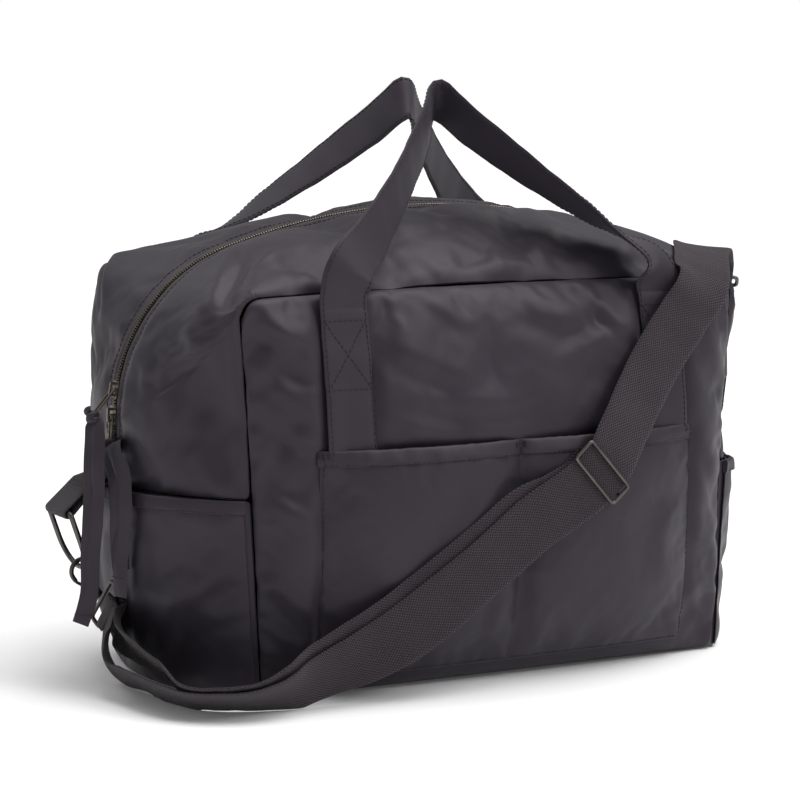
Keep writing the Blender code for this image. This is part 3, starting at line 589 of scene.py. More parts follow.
def settle(lines, clear, skin, near):
    """Moves the lines of points clear of the skin and the floor, with the moves evened out along the band."""
    moves = np.array([[tuple(push_clear(p, clear, skin, near) - p) for p in line] for line in lines])
    size = np.linalg.norm(moves, axis=2)
    spread = moves.copy()
    for k in range(len(lines)):
        low, high = max(k - 3, 0), min(k + 4, len(lines))
        most = low + np.argmax(size[low:high], axis=0)
        spread[k] = moves[most, np.arange(moves.shape[1])]
    for _ in range(2):
        padded_moves = np.concatenate([spread[:1]] * 3 + [spread] + [spread[-1:]] * 3)
        spread = sum(padded_moves[j : j + len(lines)] for j in range(7)) / 7
    for line, row in zip(lines, spread):
        for point, move in zip(line, row):
            point += Vector(move)
            point.z = max(point.z, LEAST_Z)


def band(name, rows, width, thick, finish, body="bag", columns=10, crown=0.0, clear=None, skin=None,
         replaces=(), ripple=0.0, edge=8, shape=None, near=0.03):
    """A closed flat band with rounded edges through (centre, across) rows. Crown thickens its middle.

    shape(share of the length) gives a factor for the width and the depth of a lengthwise crease.
    """
    sides = [math.sin(math.pi / 2 * (2 * c / columns - 1)) for c in range(columns + 1)]
    phase = [random.uniform(0, 6.28) for _ in range(4)]
    points, uvs, along, held = [], [], 0.0, []
    for k, (centre, across, normal) in enumerate(squared(rows)):
        if k:
            along += (centre - rows[k - 1][0]).length
        line = []
        held.append((line, normal))
        wide, crease = shape(k / (len(rows) - 1)) if shape else (1.0, 0.0)
        for s in sides:
            point = centre + across * width * wide * s / 2 + normal * crease * (1 - abs(s)) ** 1.5
            wave = math.sin(along * 210 + phase[0] + s) + math.sin(along * 95 + phase[1] - 2.2 * s)
            point += normal * ripple * (wave * 0.5 + math.sin(along * 420 + phase[2]) * 0.25 * s)
            line.append(point)
        uvs += [(along, width * s / 2) for s in sides + sides[-2:0:-1]]
    if skin:
        settle([line for line, _ in held], clear, skin, near)
    heights = [thick / 2 * (1 - abs(s) ** edge) ** 0.5 + crown * (1 - s * s) for s in sides]
    for line, normal in held:
        points += [p + normal * h for p, h in zip(line, heights)]
        points += [p - normal * h for p, h in zip(reversed(line[1:-1]), heights[::-1][1:-1])]
    loop, faces = 2 * columns, []
    for r in range(len(rows) - 1):
        for k in range(loop):
            n = (k + 1) % loop
            faces.append((r * loop + k, (r + 1) * loop + k, (r + 1) * loop + n, r * loop + n))
    for start, flip in ((0, False), ((len(rows) - 1) * loop, True)):
        cap = [(start, start + 1, start + loop - 1)]
        for c in range(1, columns - 1):
            cap.append((start + c, start + c + 1, start + loop - c - 1, start + loop - c))
        cap.append((start + columns - 1, start + columns, start + columns + 1))
        faces += [tuple(reversed(face)) for face in cap] if flip else cap
    return piece(name, points, faces, finish, body, replaces, uvs)


def tube_mesh(path, radius, closed=False, sides=12):
    """Points and faces of a round wire along the path."""
    count = len(path)
    points, faces, side = [], [], None
    for k, point in enumerate(path):
        after = path[(k + 1) % count] if closed or k + 1 < count else point
        before = path[k - 1] if closed or k else point
        tangent = (after - before).normalized()
        if side is None:
            side = tangent.orthogonal().normalized()
        side = (side - tangent * side.dot(tangent)).normalized()
        up = tangent.cross(side)
        for j in range(sides):
            turn = 2 * math.pi * j / sides
            points.append(point + (side * math.cos(turn) + up * math.sin(turn)) * radius)
    shift = 0
    if closed:
        gaps = [(points[j] - points[(count - 1) * sides]).length for j in range(sides)]
        shift = gaps.index(min(gaps))
    for k in range(count if closed else count - 1):
        last = closed and k == count - 1
        for j in range(sides):
            n = (j + 1) % sides
            a, b = k * sides + j, k * sides + n
            c = (shift + n) % sides if last else (k + 1) * sides + n
            d = (shift + j) % sides if last else (k + 1) * sides + j
            faces.append((a, b, c, d))
    if not closed:
        points += [path[0], path[-1]]
        faces += [(len(points) - 2, (j + 1) % sides, j) for j in range(sides)]
        end = (count - 1) * sides
        faces += [(len(points) - 1, end + j, end + (j + 1) % sides) for j in range(sides)]
    return points, faces


def boxed(turn, power):
    """A point of a rounded square at this turn: the lower the power, the squarer it is."""
    c, s = math.cos(turn), math.sin(turn)
    return math.copysign(abs(c) ** power, c), math.copysign(abs(s) ** power, s)


def rounded(corners, radius, closed=True, steps=5):
    """The polyline with its corners turned into arcs."""
    found, count = [], len(corners)
    for k, corner in enumerate(corners):
        if not closed and k in (0, count - 1):
            found.append(corner)
            continue
        before, after = corners[k - 1] - corner, corners[(k + 1) % count] - corner
        cut = min(radius, before.length * 0.45, after.length * 0.45)
        a, b = corner + before.normalized() * cut, corner + after.normalized() * cut
        for j in range(steps + 1):
            t = j / steps
            found.append(a * (1 - t) ** 2 + corner * 2 * t * (1 - t) + b * t**2)
    return found


def wire(name, path, radius, finish, body, replaces=(), closed=False, sides=14):
    points, faces = tube_mesh(path, radius, closed, sides)
    return piece(name, points, faces, finish, body, replaces, sharp=60)


def joined(parts):
    points, faces = [], []
    for found, made in parts:
        faces += [tuple(i + len(points) for i in f) for f in made]
        points += found
    return points, faces


def stitches(name, lines, body="bag", length=0.0030, gap=0.0011, radius=0.00032):
    """Short sunk threads along the lines, each line a list of (point, outward normal)."""
    parts = []
    for line in lines:
        for place, way in even_points([p for p, _ in line], length + gap):
            normal = min(line, key=lambda spot: (spot[0] - place).length_squared)[1]
            mids = []
            for t in (0.0, 0.12, 0.5, 0.88, 1.0):
                lift = radius * (0.85 if 0.1 < t < 0.9 else -1.3)
                mids.append(place + way * (t - 0.5) * length + normal * lift)
            parts.append(tube_mesh(mids, radius, sides=5))
    points, faces = joined(parts)
    return piece(name, points, faces, "thread", body, sharp=80)


def tree_of(*objects):
    parts = []
    for obj in objects:
        mesh = obj.data
        parts.append(([v.co.copy() for v in mesh.vertices], [tuple(f.vertices) for f in mesh.polygons]))
    return BVHTree.FromPolygons(*joined(parts))


def laid_on(tree, points, toward, reach=0.03):
    """(point, normal) where rays going in the direction meet the skin."""
    found = []
    way = Vector(toward).normalized()
    for point in points:
        hit, normal, _, _ = tree.ray_cast(Vector(point) - way * reach, way, 3 * reach)
        if hit:
            found.append((hit, normal if normal.dot(way) < 0 else -normal))
    return found


def line_between(a, b, count=24):
    a, b = Vector(a), Vector(b)
    return [a.lerp(b, k / count) for k in range(count + 1)]


# ---- folds ------------------------------------------------------------------------------------------
def outward_normals(grid):
    normal = np.cross(np.gradient(grid, axis=1), np.gradient(grid, axis=0))
    normal /= np.maximum(np.linalg.norm(normal, axis=2, keepdims=True), 1e-9)
    return -normal if turned_in(grid) else normal


def with_folds(grid, places, folds):
    """Raises soft folds. Each is (a0, b0, a1, b1, width, height) in the places' own flat coordinates."""
    lift = np.zeros(grid.shape[:2])
    for a0, b0, a1, b1, width, height in folds:
        start, way = np.array([a0, b0]), np.array([a1 - a0, b1 - b0])
        length = np.linalg.norm(way)
        way = way / length
        off = places - start
        t = (off @ way) / length
        aside = off @ np.array([-way[1], way[0]]) + 0.12 * length * np.sin(np.pi * t) * 0.4
        taper = np.sin(np.pi * np.clip(t, 0, 1)) ** 0.7
        steep = np.where(aside > 0, width, width * 0.42)
        valley = 0.55 * np.exp(-(((aside + width) / (0.6 * width)) ** 2))
        lift += height * taper * (np.exp(-((aside / steep) ** 2)) - valley)
    return grid + outward_normals(grid) * lift[..., None]


def puckered(grid, amount=0.0016, reach=0.011):
    """Gathers the cloth in little scallops along all four of its seams."""
    across = np.linalg.norm(np.diff(grid, axis=1), axis=2)
    down = np.linalg.norm(np.diff(grid, axis=0), axis=2)
    left = np.concatenate([np.zeros((grid.shape[0], 1)), np.cumsum(across, axis=1)], axis=1)
    first = np.concatenate([np.zeros((1, grid.shape[1])), np.cumsum(down, axis=0)], axis=0)
    lift = np.zeros(grid.shape[:2])
    right, last = left[:, -1:] - left, first[-1:] - first
    for away, along in ((left, first), (right, first), (first, left), (last, left)):
        wave = np.zeros(grid.shape[:2])
        for length in (0.043, 0.027, 0.017):
            slant = RNG.uniform(-0.6, 0.6)
            wave += np.sin(2 * np.pi * (along + slant * away) / length + RNG.uniform(0, 6.28))
        lift += amount * (wave / 2 + 0.4) * np.exp(-away / reach) * (1 - np.exp(-away / 0.003))
    return grid + outward_normals(grid) * lift[..., None]


def with_mounds(grid, mounds):
    """Pushes the cloth near each point: (x, y, z, reach, push x, push y, push z)."""
    found = grid.copy()
    for x, y, z, reach, *push in mounds:
        share = np.exp(-(np.linalg.norm(grid - np.array([x, y, z]), axis=2) / reach) ** 2)
        found += share[..., None] * np.array(push)
    return found


def closed_sheet(name, grid, depth, replaces):
    """A relaxed grid as a closed sheet of nylon, one subdivision finer."""
    points, faces = closed_grid(grid, grid - outward_normals(grid) * depth, turned_in(grid))
    made = piece(name, points, faces, "nylon", replaces=[replaces], sharp=70)
    finer = made.modifiers.new("finer", "SUBSURF")
    finer.levels = finer.render_levels = 1
    return made


# ---- the sewn body -----------------------------------------------------------------------------------
def panel_grid(side, columns, rows):
    found = []
    for r in range(rows):
        v = round(r / (rows - 1), 9)
        line = [panel_point(round(2 * c / (columns - 1) - 1, 9), v) for c in range(columns)]
        found.append([Vector((p.x, -side * p.y, p.z)) for p in line])
    return found


TOP_RIBS = upper_ribs(11, 34, 30)
TOP_RIBS += [(seam, drawn_in(crown), inward) for seam, crown, inward in mirrored_ribs(TOP_RIBS)[1:]]


def top_grid(side):
    rows = [side * (SEAM_Y - (SEAM_Y - 0.006) * k / 23) for k in range(24)]
    return [[gusset_point(rib, y) for y in rows] for rib in TOP_RIBS]


def end_grid(side):
    rows = [-SEAM_Y + 2 * SEAM_Y * k / 46 for k in range(47)]
    found = [[gusset_point(rib, y) for y in rows] for rib in lower_ribs(29)]
    return [[drawn_in(Vector((side * p.x, p.y, p.z))) for p in row] for row in found]


def pocket_grid():
    columns, rows = 73, 40
    found = []
    for r in range(rows):
        w = r / (rows - 1)
        z = POCKET_BOTTOM + (POCKET_TOP - POCKET_BOTTOM) * w
        line = []
        for c in range(columns):
            u = 2 * c / (columns - 1) - 1
            lobe = max(1 - (2 * abs(u) - 1) ** 2, 0.0)
            stand = 0.0031 + 0.0062 * lobe**0.7 * smooth_step(w / 0.35)
            if r == 0 or c in (0, columns - 1) or c == (columns - 1) // 2:
                stand = 0.0012
            line.append(Vector((u * POCKET_HALF, front_y(u * POCKET_HALF, z) - stand, z)))
        found.append(line)
    return found


def end_pocket_grid(side):
    found = []
    for k in range(26):
        w = k / 25
        z = FLOOR_Z + (0.1472 - FLOOR_Z) * w
        rib = (Vector((-seam_half(z), 0, z)), Vector((-end_x(z), 0, z)), X)
        line = []
        for j in range(45):
            y = -0.1158 + 0.2316 * j / 44
            stand = 0.0020 + 0.0070 * (1 - (abs(y) / SEAM_Y) ** 4) * smooth_step(w * 1.5)
            if k == 0 or j in (0, 44):
                stand = 0.0004
            p = skin_point(rib, y, -stand)
            line.append(drawn_in(Vector((side * p.x, p.y, p.z))))
        found.append(line)
    return found


ALL_ROUND = ("first", "last", "left", "right")
GRIDS = {
    "front": (panel_grid(-1, 85, 60), ALL_ROUND, 1.0),
    "back": (panel_grid(1, 71, 50), ALL_ROUND, 1.0),
    "top_front": (top_grid(-1), ALL_ROUND, 1.0),
    "top_back": (top_grid(1), ALL_ROUND, 1.0),
    "end_left": (end_grid(1), ALL_ROUND, 0.7),
    "end_right": (end_grid(-1), ALL_ROUND, 0.7),
    "pocket": (pocket_grid(), (*ALL_ROUND, "middle"), 0.55),
    "pocket_left": (end_pocket_grid(1), ALL_ROUND, 0.8),
    "pocket_right": (end_pocket_grid(-1), ALL_ROUND, 0.8),
}
SMOOTH = {name: as_array(grid) for name, (grid, _, _) in GRIDS.items()}
sheets = [(SMOOTH[name], rims, share) for name, (_, rims, share) in GRIDS.items()]
RELAXED = dict(zip(GRIDS, relax(sheets)))


def under_anchor(point):
    """Nearly 1 where a panel lies under a handle anchor."""
    return 0.92 * smooth_step((0.026 - abs(abs(point[0]) - HANDLE_X)) / 0.010)


def under_trim(point):
    """1 where the front panel lies under its pocket, nearly 1 under a handle anchor."""
    x, _, z = point
    beside = smooth_step((POCKET_HALF + 0.004 - abs(x)) / 0.008)
    return max(beside * smooth_step((POCKET_TOP + 0.006 - z) / 0.012), under_anchor(point))


def beside_zip(point):
    return smooth_step((0.021 - abs(point[1])) / 0.012)


def quietly(name, grid, hold):
    """Keeps a folded grid at its first shape where trim lies on it."""
    keep = np.array([[hold(p) for p in row] for row in SMOOTH[name]])[..., None]
    return grid * (1 - keep) + SMOOTH[name] * keep


# Each fold is (a0, b0, a1, b1, width, height), in the flat coordinates of its panel.
FRONT_FOLDS = [
    (-0.200, 0.275, -0.160, 0.262, 0.008, 0.0034), (-0.199, 0.222, -0.160, 0.184, 0.008, 0.0036),
    (-0.194, 0.158, -0.160, 0.122, 0.008, 0.0034), (-0.192, 0.096, -0.162, 0.060, 0.008, 0.0034),
    (-0.192, 0.060, -0.164, 0.034, 0.007, 0.0030), (0.060, 0.292, 0.108, 0.252, 0.009, 0.0036),
    (-0.195, 0.285, -0.155, 0.235, 0.012, 0.0045), (-0.200, 0.250, -0.160, 0.205, 0.011, 0.0035),
    (-0.196, 0.190, -0.163, 0.150, 0.010, 0.0028), (-0.190, 0.120, -0.165, 0.075, 0.009, 0.0024),
    (-0.108, 0.262, -0.030, 0.228, 0.014, 0.0034), (-0.095, 0.222, 0.050, 0.214, 0.013, 0.0026),
    (0.000, 0.285, 0.075, 0.262, 0.012, 0.0030), (0.110, 0.262, 0.030, 0.236, 0.011, 0.0024),
    (0.160, 0.270, 0.196, 0.220, 0.011, 0.0040), (0.165, 0.180, 0.192, 0.130, 0.010, 0.0028),
    (-0.112, 0.205, -0.060, 0.192, 0.008, 0.0020), (-0.070, 0.290, -0.030, 0.266, 0.009, 0.0022),
]
TOP_FOLDS = [
    (-0.170, -0.108, -0.060, -0.092, 0.013, 0.0050), (-0.070, -0.110, 0.060, -0.096, 0.012, 0.0045),
    (0.040, -0.104, 0.160, -0.088, 0.012, 0.0040), (-0.260, -0.098, -0.190, -0.050, 0.013, 0.0048),
    (-0.330, -0.100, -0.240, -0.072, 0.012, 0.0046), (-0.380, -0.060, -0.290, -0.086, 0.010, 0.0030),
    (0.200, -0.104, 0.270, -0.060, 0.012, 0.0045), (-0.120, -0.074, -0.010, -0.060, 0.012, 0.0026),
]


def top_places(grid):
    """Distance along the middle of the top, zero over its centre, and y."""
    line = grid[:, grid.shape[1] // 2]
    steps = np.concatenate([[0], np.cumsum(np.linalg.norm(np.diff(line, axis=0), axis=1))])
    along = steps - steps[-1] / 2
    return np.stack([np.repeat(along[:, None], grid.shape[1], axis=1), grid[..., 1]], axis=2)


front_grid = puckered(RELAXED["front"])
front_grid = quietly("front", with_folds(front_grid, front_grid[..., [0, 2]], FRONT_FOLDS), under_trim)
back_grid = puckered(RELAXED["back"])
back_grid = with_folds(back_grid, back_grid[..., [0, 2]] * np.array([-1, 1]), FRONT_FOLDS)
back_grid = quietly("back", back_grid, under_anchor)
back_grid = with_mounds(back_grid, [(-0.20, 0.118, 0.285, 0.045, -0.006, 0.0, 0.008)])
top_front = with_folds(puckered(RELAXED["top_front"]), top_places(RELAXED["top_front"]), TOP_FOLDS)
top_front = quietly("top_front", top_front, beside_zip)
back_places = top_places(RELAXED["top_back"]) * np.array([-1, -1])
top_back = with_folds(puckered(RELAXED["top_back"]), back_places, TOP_FOLDS)
top_back = with_mounds(quietly("top_back", top_back, beside_zip), [
    (-0.215, 0.100, 0.285, 0.050, -0.008, 0.0, 0.011), (0, 0.08, 0.31, 0.12, 0, 0, 0.003)])
V_FRONT = closed_sheet("panel_front", front_grid, SHELL_THICK, "front_panel")
V_BACK = closed_sheet("panel_back", back_grid, SHELL_THICK, "back_panel")
V_TOP_FRONT = closed_sheet("panel_top_front", top_front, SHELL_THICK, "top_panel_front")
V_TOP_BACK = closed_sheet("panel_top_back", top_back, SHELL_THICK, "top_panel_back")
V_END_LEFT = closed_sheet("panel_end_left", SMOOTH["end_left"], SHELL_THICK, "end_panel_left")
closed_sheet("panel_end_right", SMOOTH["end_right"], SHELL_THICK, "end_panel_right")
POCKET_FOLDS = [
    (-0.145, 0.155, -0.090, 0.060, 0.020, 0.0022), (-0.030, 0.150, -0.075, 0.080, 0.018, 0.0020),
    (0.030, 0.160, 0.090, 0.110, 0.018, 0.0020), (0.140, 0.150, 0.120, 0.060, 0.020, 0.0020),
    (0.012, 0.100, 0.020, 0.030, 0.010, 0.0022), (-0.012, 0.090, -0.022, 0.025, 0.010, 0.0020),
]
END_FOLDS = [
    (-0.085, 0.120, -0.050, 0.020, 0.010, 0.0040), (-0.050, 0.125, -0.020, 0.030, 0.009, 0.0040),
    (-0.030, 0.110, 0.005, 0.020, 0.010, 0.0042), (0.020, 0.120, 0.045, 0.025, 0.010, 0.0030),
    (0.060, 0.110, 0.080, 0.030, 0.010, 0.0028), (-0.105, 0.100, -0.070, 0.060, 0.009, 0.0026),
]
for name in ("pocket", "pocket_left", "pocket_right"):
    axes, folds = ([0, 2], POCKET_FOLDS) if name == "pocket" else ([1, 2], END_FOLDS)
    flat = RELAXED[name][..., axes]
    RELAXED[name] = with_folds(puckered(RELAXED[name], 0.0009, 0.008), flat, folds)
V_POCKET = closed_sheet("pocket_front", RELAXED["pocket"], POCKET_THICK, "front_pocket")
V_POCKET_LEFT, V_POCKET_RIGHT = [
    closed_sheet("pocket_end_" + side, RELAXED["pocket_" + side], END_POCKET_THICK, "end_pocket_" + side)
    for side in ("left", "right")]


# ---- hems and handles ------------------------------------------------------------------------------------
GRIP_STAND = 0.0045          # the grips' middle stands this far off the panel at their hinge line
GRIP_FOLD = (-0.004, -0.0305, 0.4255)
FRONT_GRIP_LOW, BACK_GRIP_LOW = 0.1770, 0.1860
BOX_HALF, BOX_LOW, BOX_TOP = 0.0163, 0.226, 0.2745      # the box and its cross, stitched through the anchors


def hem(name, grid, height):
    """The turned-over top edge of a pocket, as a soft band over its upper rows."""
    rows = []
    normals = outward_normals(grid)
    for c in range(grid.shape[1]):
        column = [Vector(p) for p in grid[::-1, c]]
        line = even_points(column, height / 8)[:9]
        top, low = line[0][0], line[8][0]
        centre = line[4][0] - Vector(normals[-3, c]) * 0.0003
        rows.append((centre + (top - low) * 0.02, (low - top).normalized()))
    return band(name, rows, height * 1.06, 0.0031, "nylon", columns=10, crown=0.0004, ripple=0.00018)


V_HEM = hem("pocket_front_hem", RELAXED["pocket"], 0.0115)
V_HEM_LEFT = hem("pocket_end_left_hem", RELAXED["pocket_left"], 0.0100)
V_HEM_RIGHT = hem("pocket_end_right_hem", RELAXED["pocket_right"], 0.0100)


def handle_stations(left):
    """(centre, across) from the hinge line up to the fold of the front handle, for one leg."""
    side = -1 if left else 1
    fold, lean = Vector(GRIP_FOLD), Vector((0.06, 0.62, -0.78)).normalized()
    foot = Vector((side * HANDLE_X, front_y(HANDLE_X, HANDLE_HINGE_Z) - GRIP_STAND, HANDLE_HINGE_Z))
    shoulder = foot + Vector((-side * 0.005, -0.003, 0.027))
    rise = fold - shoulder
    forward = rise.normalized()
    level = (X - forward * forward.x).normalized()
    turns = (72, 52, 36, 29, 25, 21, 12) if left else (68, 46, 30, 20, 12, 5, 0)
    stations = [(foot, X), (foot + Vector((0, -0.0006, 0.008)), X)]
    for k, turn in enumerate(turns):
        share = k / (len(turns) - 1)
        bow = Vector((-side * 0.001, -0.005, -0.0045)) * math.sin(math.pi * share)
        angle = math.radians(turn)
        across = level * math.sin(angle) + lean * math.cos(angle)
        stations.append((shoulder + rise * share + bow, across))
    return stations


def anchor_rows(side, low):
    """(centre, across) up one sewn-down end of a grip, from its cut edge to the hinge line."""
    rows = []
    for k in range(30):
        z = low + (0.2822 - low) * k / 29
        lift = 0.0024 + 0.0021 * smooth_step((z - 0.262) / 0.020)
        rows.append((Vector((side * HANDLE_X, front_y(HANDLE_X, z) - lift, z)), X))
    return rows


def make_handle(end, turn, skin, low):
    """One band of doubled nylon: sewn down, up over the fold at its top, and sewn down again."""
    path = handle_stations(True) + list(reversed(handle_stations(False)))[1:]
    rows = anchor_rows(-1, low) + fine_rows(path, 7) + list(reversed(anchor_rows(1, low)))
    spin = (turn, turn, 1)
    rows = [tuple(Vector(p * s for p, s in zip(part, spin)) for part in row) for row in rows]
    nodes = ["handle_" + end, f"handle_anchor_{end}_left", f"handle_anchor_{end}_right"]
    loop = band("grip_" + end, rows, HANDLE_WIDTH, 0.0029, "nylon_edge", None, 14, 0.0006,
                clear=0.0021, skin=skin, near=0.006, replaces=nodes, ripple=0.0004)
    tree, lines = tree_of(loop), []
    for share in (-0.43, 0.43):
        for face in (1, -1):
            line = []
            for centre, across, normal in squared(rows):
                point, out = centre + across * HANDLE_WIDTH * share, normal * face
                hit, _, _, _ = tree.ray_cast(point + out * 0.006, -out, 0.012)
                if hit:
                    line.append((hit, out))
            lines.append(line)
    for side in (-1, 1):
        x0, x1 = side * HANDLE_X - BOX_HALF, side * HANDLE_X + BOX_HALF
        marks = [((x0, BOX_TOP), (x1, BOX_TOP)), ((x0, BOX_LOW), (x1, BOX_LOW)),
                 ((x0, BOX_LOW), (x1, BOX_TOP)), ((x1, BOX_LOW), (x0, BOX_TOP))]
        if end == "back":
            marks.append(((x0, low + 0.0025), (x1, low + 0.0025)))
        for a, b in marks:
            spots = line_between((a[0], -turn * 0.16, a[1]), (b[0], -turn * 0.16, b[1]))
            lines.append(laid_on(tree, spots, (0, turn, 0), 0.05))
    thread = stitches("grip_" + end + "_stitches", lines, None)
    for obj in (loop, thread):
        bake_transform(obj)
    return loop


V_GRIP = make_handle("front", 1, tree_of(V_FRONT), FRONT_GRIP_LOW)
make_handle("back", -1, tree_of(V_BACK), BACK_GRIP_LOW)


# ---- zip ---------------------------------------------------------------------------------------------
TOOTH_PITCH = 0.0021
# Each ring of a tooth is (height, half its length along the zip, its reach out from the middle).
TOOTH_RINGS = ((-0.0017, 0.00068, 0.0031), (0.0010, 0.00066, 0.0029), (0.0016, 0.00036, 0.0024))


def tooth(place, way, side):
    """Points and faces of one metal tooth, on its side of the zip's middle line."""
    out = way.cross(Y).normalized()
    if out.dot(place - BAG_MIDDLE) < 0:
        out = -out
    rings = []
    for height, half, reach in TOOTH_RINGS:
        corners = ((-half, -0.0007), (half, -0.0007), (half, reach), (-half, reach))
        rings.append([place + way * a + Y * side * y + out * height for a, y in corners])
    points, faces = stacked(rings)
    if side * Y.dot(way.cross(out)) < 0:
        faces = [tuple(reversed(face)) for face in faces]
    return points, faces


def make_zip():
    line = [(crown, -inward) for _, crown, inward in TOP_RIBS if crown.z > END_SEAM_Z + 0.0078]

    def over(y, height):
        return [(p + n * height + Y * y, Y) for p, n in line]

    for side, name, top in ((-1, "front", V_TOP_FRONT), (1, "back", V_TOP_BACK)):
        band("zip_tape_" + name, over(side * 0.0058, -0.0047), 0.0104, 0.0009, "zip_tape", edge=14,
             replaces=["zipper_tape_" + name])
        band("zip_lip_" + name, over(side * 0.0074, -0.0006), 0.0070, 0.0014, "nylon",
             crown=0.0004, ripple=0.0002)
        half_pitch = TOOTH_PITCH / 2 if side > 0 else 0
        spots = even_points([p + n * -0.0003 for p, n in line], TOOTH_PITCH)
        points, faces = joined([tooth(place + way * half_pitch, way, side) for place, way in spots])
        piece("zip_teeth_" + name, points, faces, "zip_metal", replaces=["zipper_chain_" + name], sharp=30)
        tree, found = tree_of(top), []
        for p, n in line:
            found += laid_on(tree, [p + Y * side * 0.0132], -n, 0.01)
        stitches("zip_stitches_" + name, [found])


make_zip()


def make_stop(name, rib):
    """The folded metal end stop of the zip, as a rounded block."""
    crown, outward = rib[1], -rib[2]
    centre = crown + Vector((0, 0, 0.0062 if crown.z < END_SEAM_Z + 0.001 else -0.0022)) - outward * 0.0020
    rings = []
    for height, shrink in ((-0.0017, 0.8), (-0.0013, 1.0), (0.0013, 1.0), (0.0017, 0.8)):
        corners = [boxed(2 * math.pi * j / 16, 0.5) for j in range(16)]
        ring = [Vector((outward.x * 0.0018 * shrink * y, 0.0036 * shrink * x, height)) for x, y in corners]
        rings.append([centre + point for point in ring])
    points, faces = stacked(rings)
    piece("zip_stop_" + name, points, faces, "zip_metal", replaces=["zipper_stop_" + name])


make_stop("left", TOP_RIBS[0])
make_stop("right", TOP_RIBS[-1])


# ---- pulls ---------------------------------------------------------------------------------------------
def knot_path(start, way):
    """A wire path that winds round the way in loops of uneven size."""
    one = way.orthogonal().normalized()
    two = way.cross(one)
    path = []
    for k in range(91):
        turn = 2 * math.pi * 2.6 * k / 90
        ring = 0.0034 + 0.0011 * math.sin(1.3 * turn)
        spoke = one * math.cos(turn) + two * math.sin(turn) * 0.8
        path.append(start + way * (0.0046 * math.sin(turn * 0.31 + 4.6)) + spoke * ring)
    return path


def hanging(name, hinge, hang, length, stations, width, swell):
    """A wire bail, the knot on it, and the doubled strip of cloth that hangs from the knot."""
    body, low = "pull_" + name, hinge + hang * length
    corners = [hinge - Y * 0.0028, low - Y * 0.0020, low + Y * 0.0020, hinge + Y * 0.0028]
    path, nodes = rounded(corners, 0.0016), ["pull_bail_" + name]
    wire("bail_" + name, path, 0.0009, "zip_metal", body, nodes, closed=True)
    rows = fine_rows([(low + hang * 0.002, stations[0][1])] + stations, 8)
    total = len(rows)

    def shape(share):
        wide = 0.45 + 0.55 * smooth_step(share / 0.22) + swell * math.sin(math.pi * min(share / 0.9, 1))
        return wide, 0.0026 * math.sin(math.pi * share)

    plies = []
    for ply, sign, share_of_width in (("near", 1, 0.80), ("far", -1, 0.62)):
        moved = []
        for k, (centre, side) in enumerate(rows):
            share = k / (total - 1)
            normal = heading(rows, k).cross(side).normalized()
            spin = math.radians(sign * (10 + 16 * share) + 14 * math.sin(6 * share))
            turned = side.normalized() * math.cos(spin) + normal * math.sin(spin)
            apart = sign * (0.0011 + 0.0020 * smooth_step((share - 0.7) / 0.3))
            shift = sign * (0.0015 + 0.0012 * math.sin(5 * share + sign))
            moved.append((centre + normal * apart + turned * shift, turned))
        if ply == "far":
            moved = moved[: total - 4]
        nodes = ["pull_strip_" + name] if ply == "near" else ()
        plies.append(band(f"strip_{name}_{ply}", moved, width * share_of_width, 0.0012, "nylon_edge", body,
                          12, 0.0003, replaces=nodes, ripple=0.0005, shape=shape))
    path = knot_path(rows[1][0], (rows[6][0] - rows[0][0]).normalized())
    wire("knot_" + name, path, 0.0027, "nylon_edge", body, sides=12)
    tree, k = tree_of(plies[0]), int(total * 0.92)
    centre, side = rows[k]
    normal = (rows[k + 1][0] - centre).normalized().cross(side).normalized()
    spots = [centre + side.normalized() * width * 0.5 * (j / 10 - 1) for j in range(21)]
    lines = [laid_on(tree, spots, -normal * face, 0.01) for face in (1, -1)]
    stitches(f"strip_{name}_stitches", [line for line in lines if len(line) > 2], body, 0.0022, 0.0008)


UPPER_DRAPE = [
    ((-0.2745, -0.0045, 0.1925), (0.877, -0.480, 0.0)), ((-0.2790, -0.0150, 0.168), (0.877, -0.480, 0.0)),
    ((-0.2850, -0.0285, 0.138), (0.877, -0.480, 0.0)), ((-0.2890, -0.0290, 0.100), (0.877, -0.480, 0.0)),
    ((-0.2910, -0.0290, 0.070), (0.877, -0.480, 0.0)), ((-0.2970, -0.0270, 0.052), (0.877, -0.480, 0.0)),
]
LOWER_DRAPE = [
    ((-0.2640, -0.0100, 0.1755), (0.55, -0.835, 0.0)), ((-0.2645, -0.0290, 0.160), (0.55, -0.835, 0.0)),
    ((-0.2680, -0.0415, 0.140), (0.55, -0.835, 0.0)), ((-0.2700, -0.0405, 0.110), (0.55, -0.835, 0.0)),
    ((-0.2690, -0.0405, 0.072), (0.55, -0.835, 0.0)),
]


def route(rows):
    return [(Vector(centre), Vector(across).normalized()) for centre, across in rows]


hanging("upper", Vector((-0.25719, 0, 0.21803)), Vector((-0.66, 0.0, -0.75)).normalized(), 0.0225,
        route(UPPER_DRAPE), 0.0170, 0.05)
hanging("lower", Vector((-0.25913, 0, 0.19917)), Vector((-0.03, 0.0, -1.0)).normalized(), 0.0200,
        route(LOWER_DRAPE), 0.0200, 0.30)


# ---- end hardware --------------------------------------------------------------------------------------
RING_WIRE, RING_HALF, RING_DROP = 0.0020, 0.0215, 0.045
HOOK_WIRE, HOOK_BOW, HOOK_BOW_Z, HOOK_REACH = 0.00175, 0.0085, 0.0245, 0.0285
EYE_HALF, EYE_WIRE, EYE_REACH = 0.0262, 0.0016, 0.0165
STRAP_WIDTH, STRAP_THICK = 0.045, 0.002
WRAP_RADIUS = EYE_WIRE + 0.0005 + STRAP_THICK / 2
STRAND_LIFT = 0.0036
TAB_WIDTH, TAB_THICK = 0.038, 0.0018


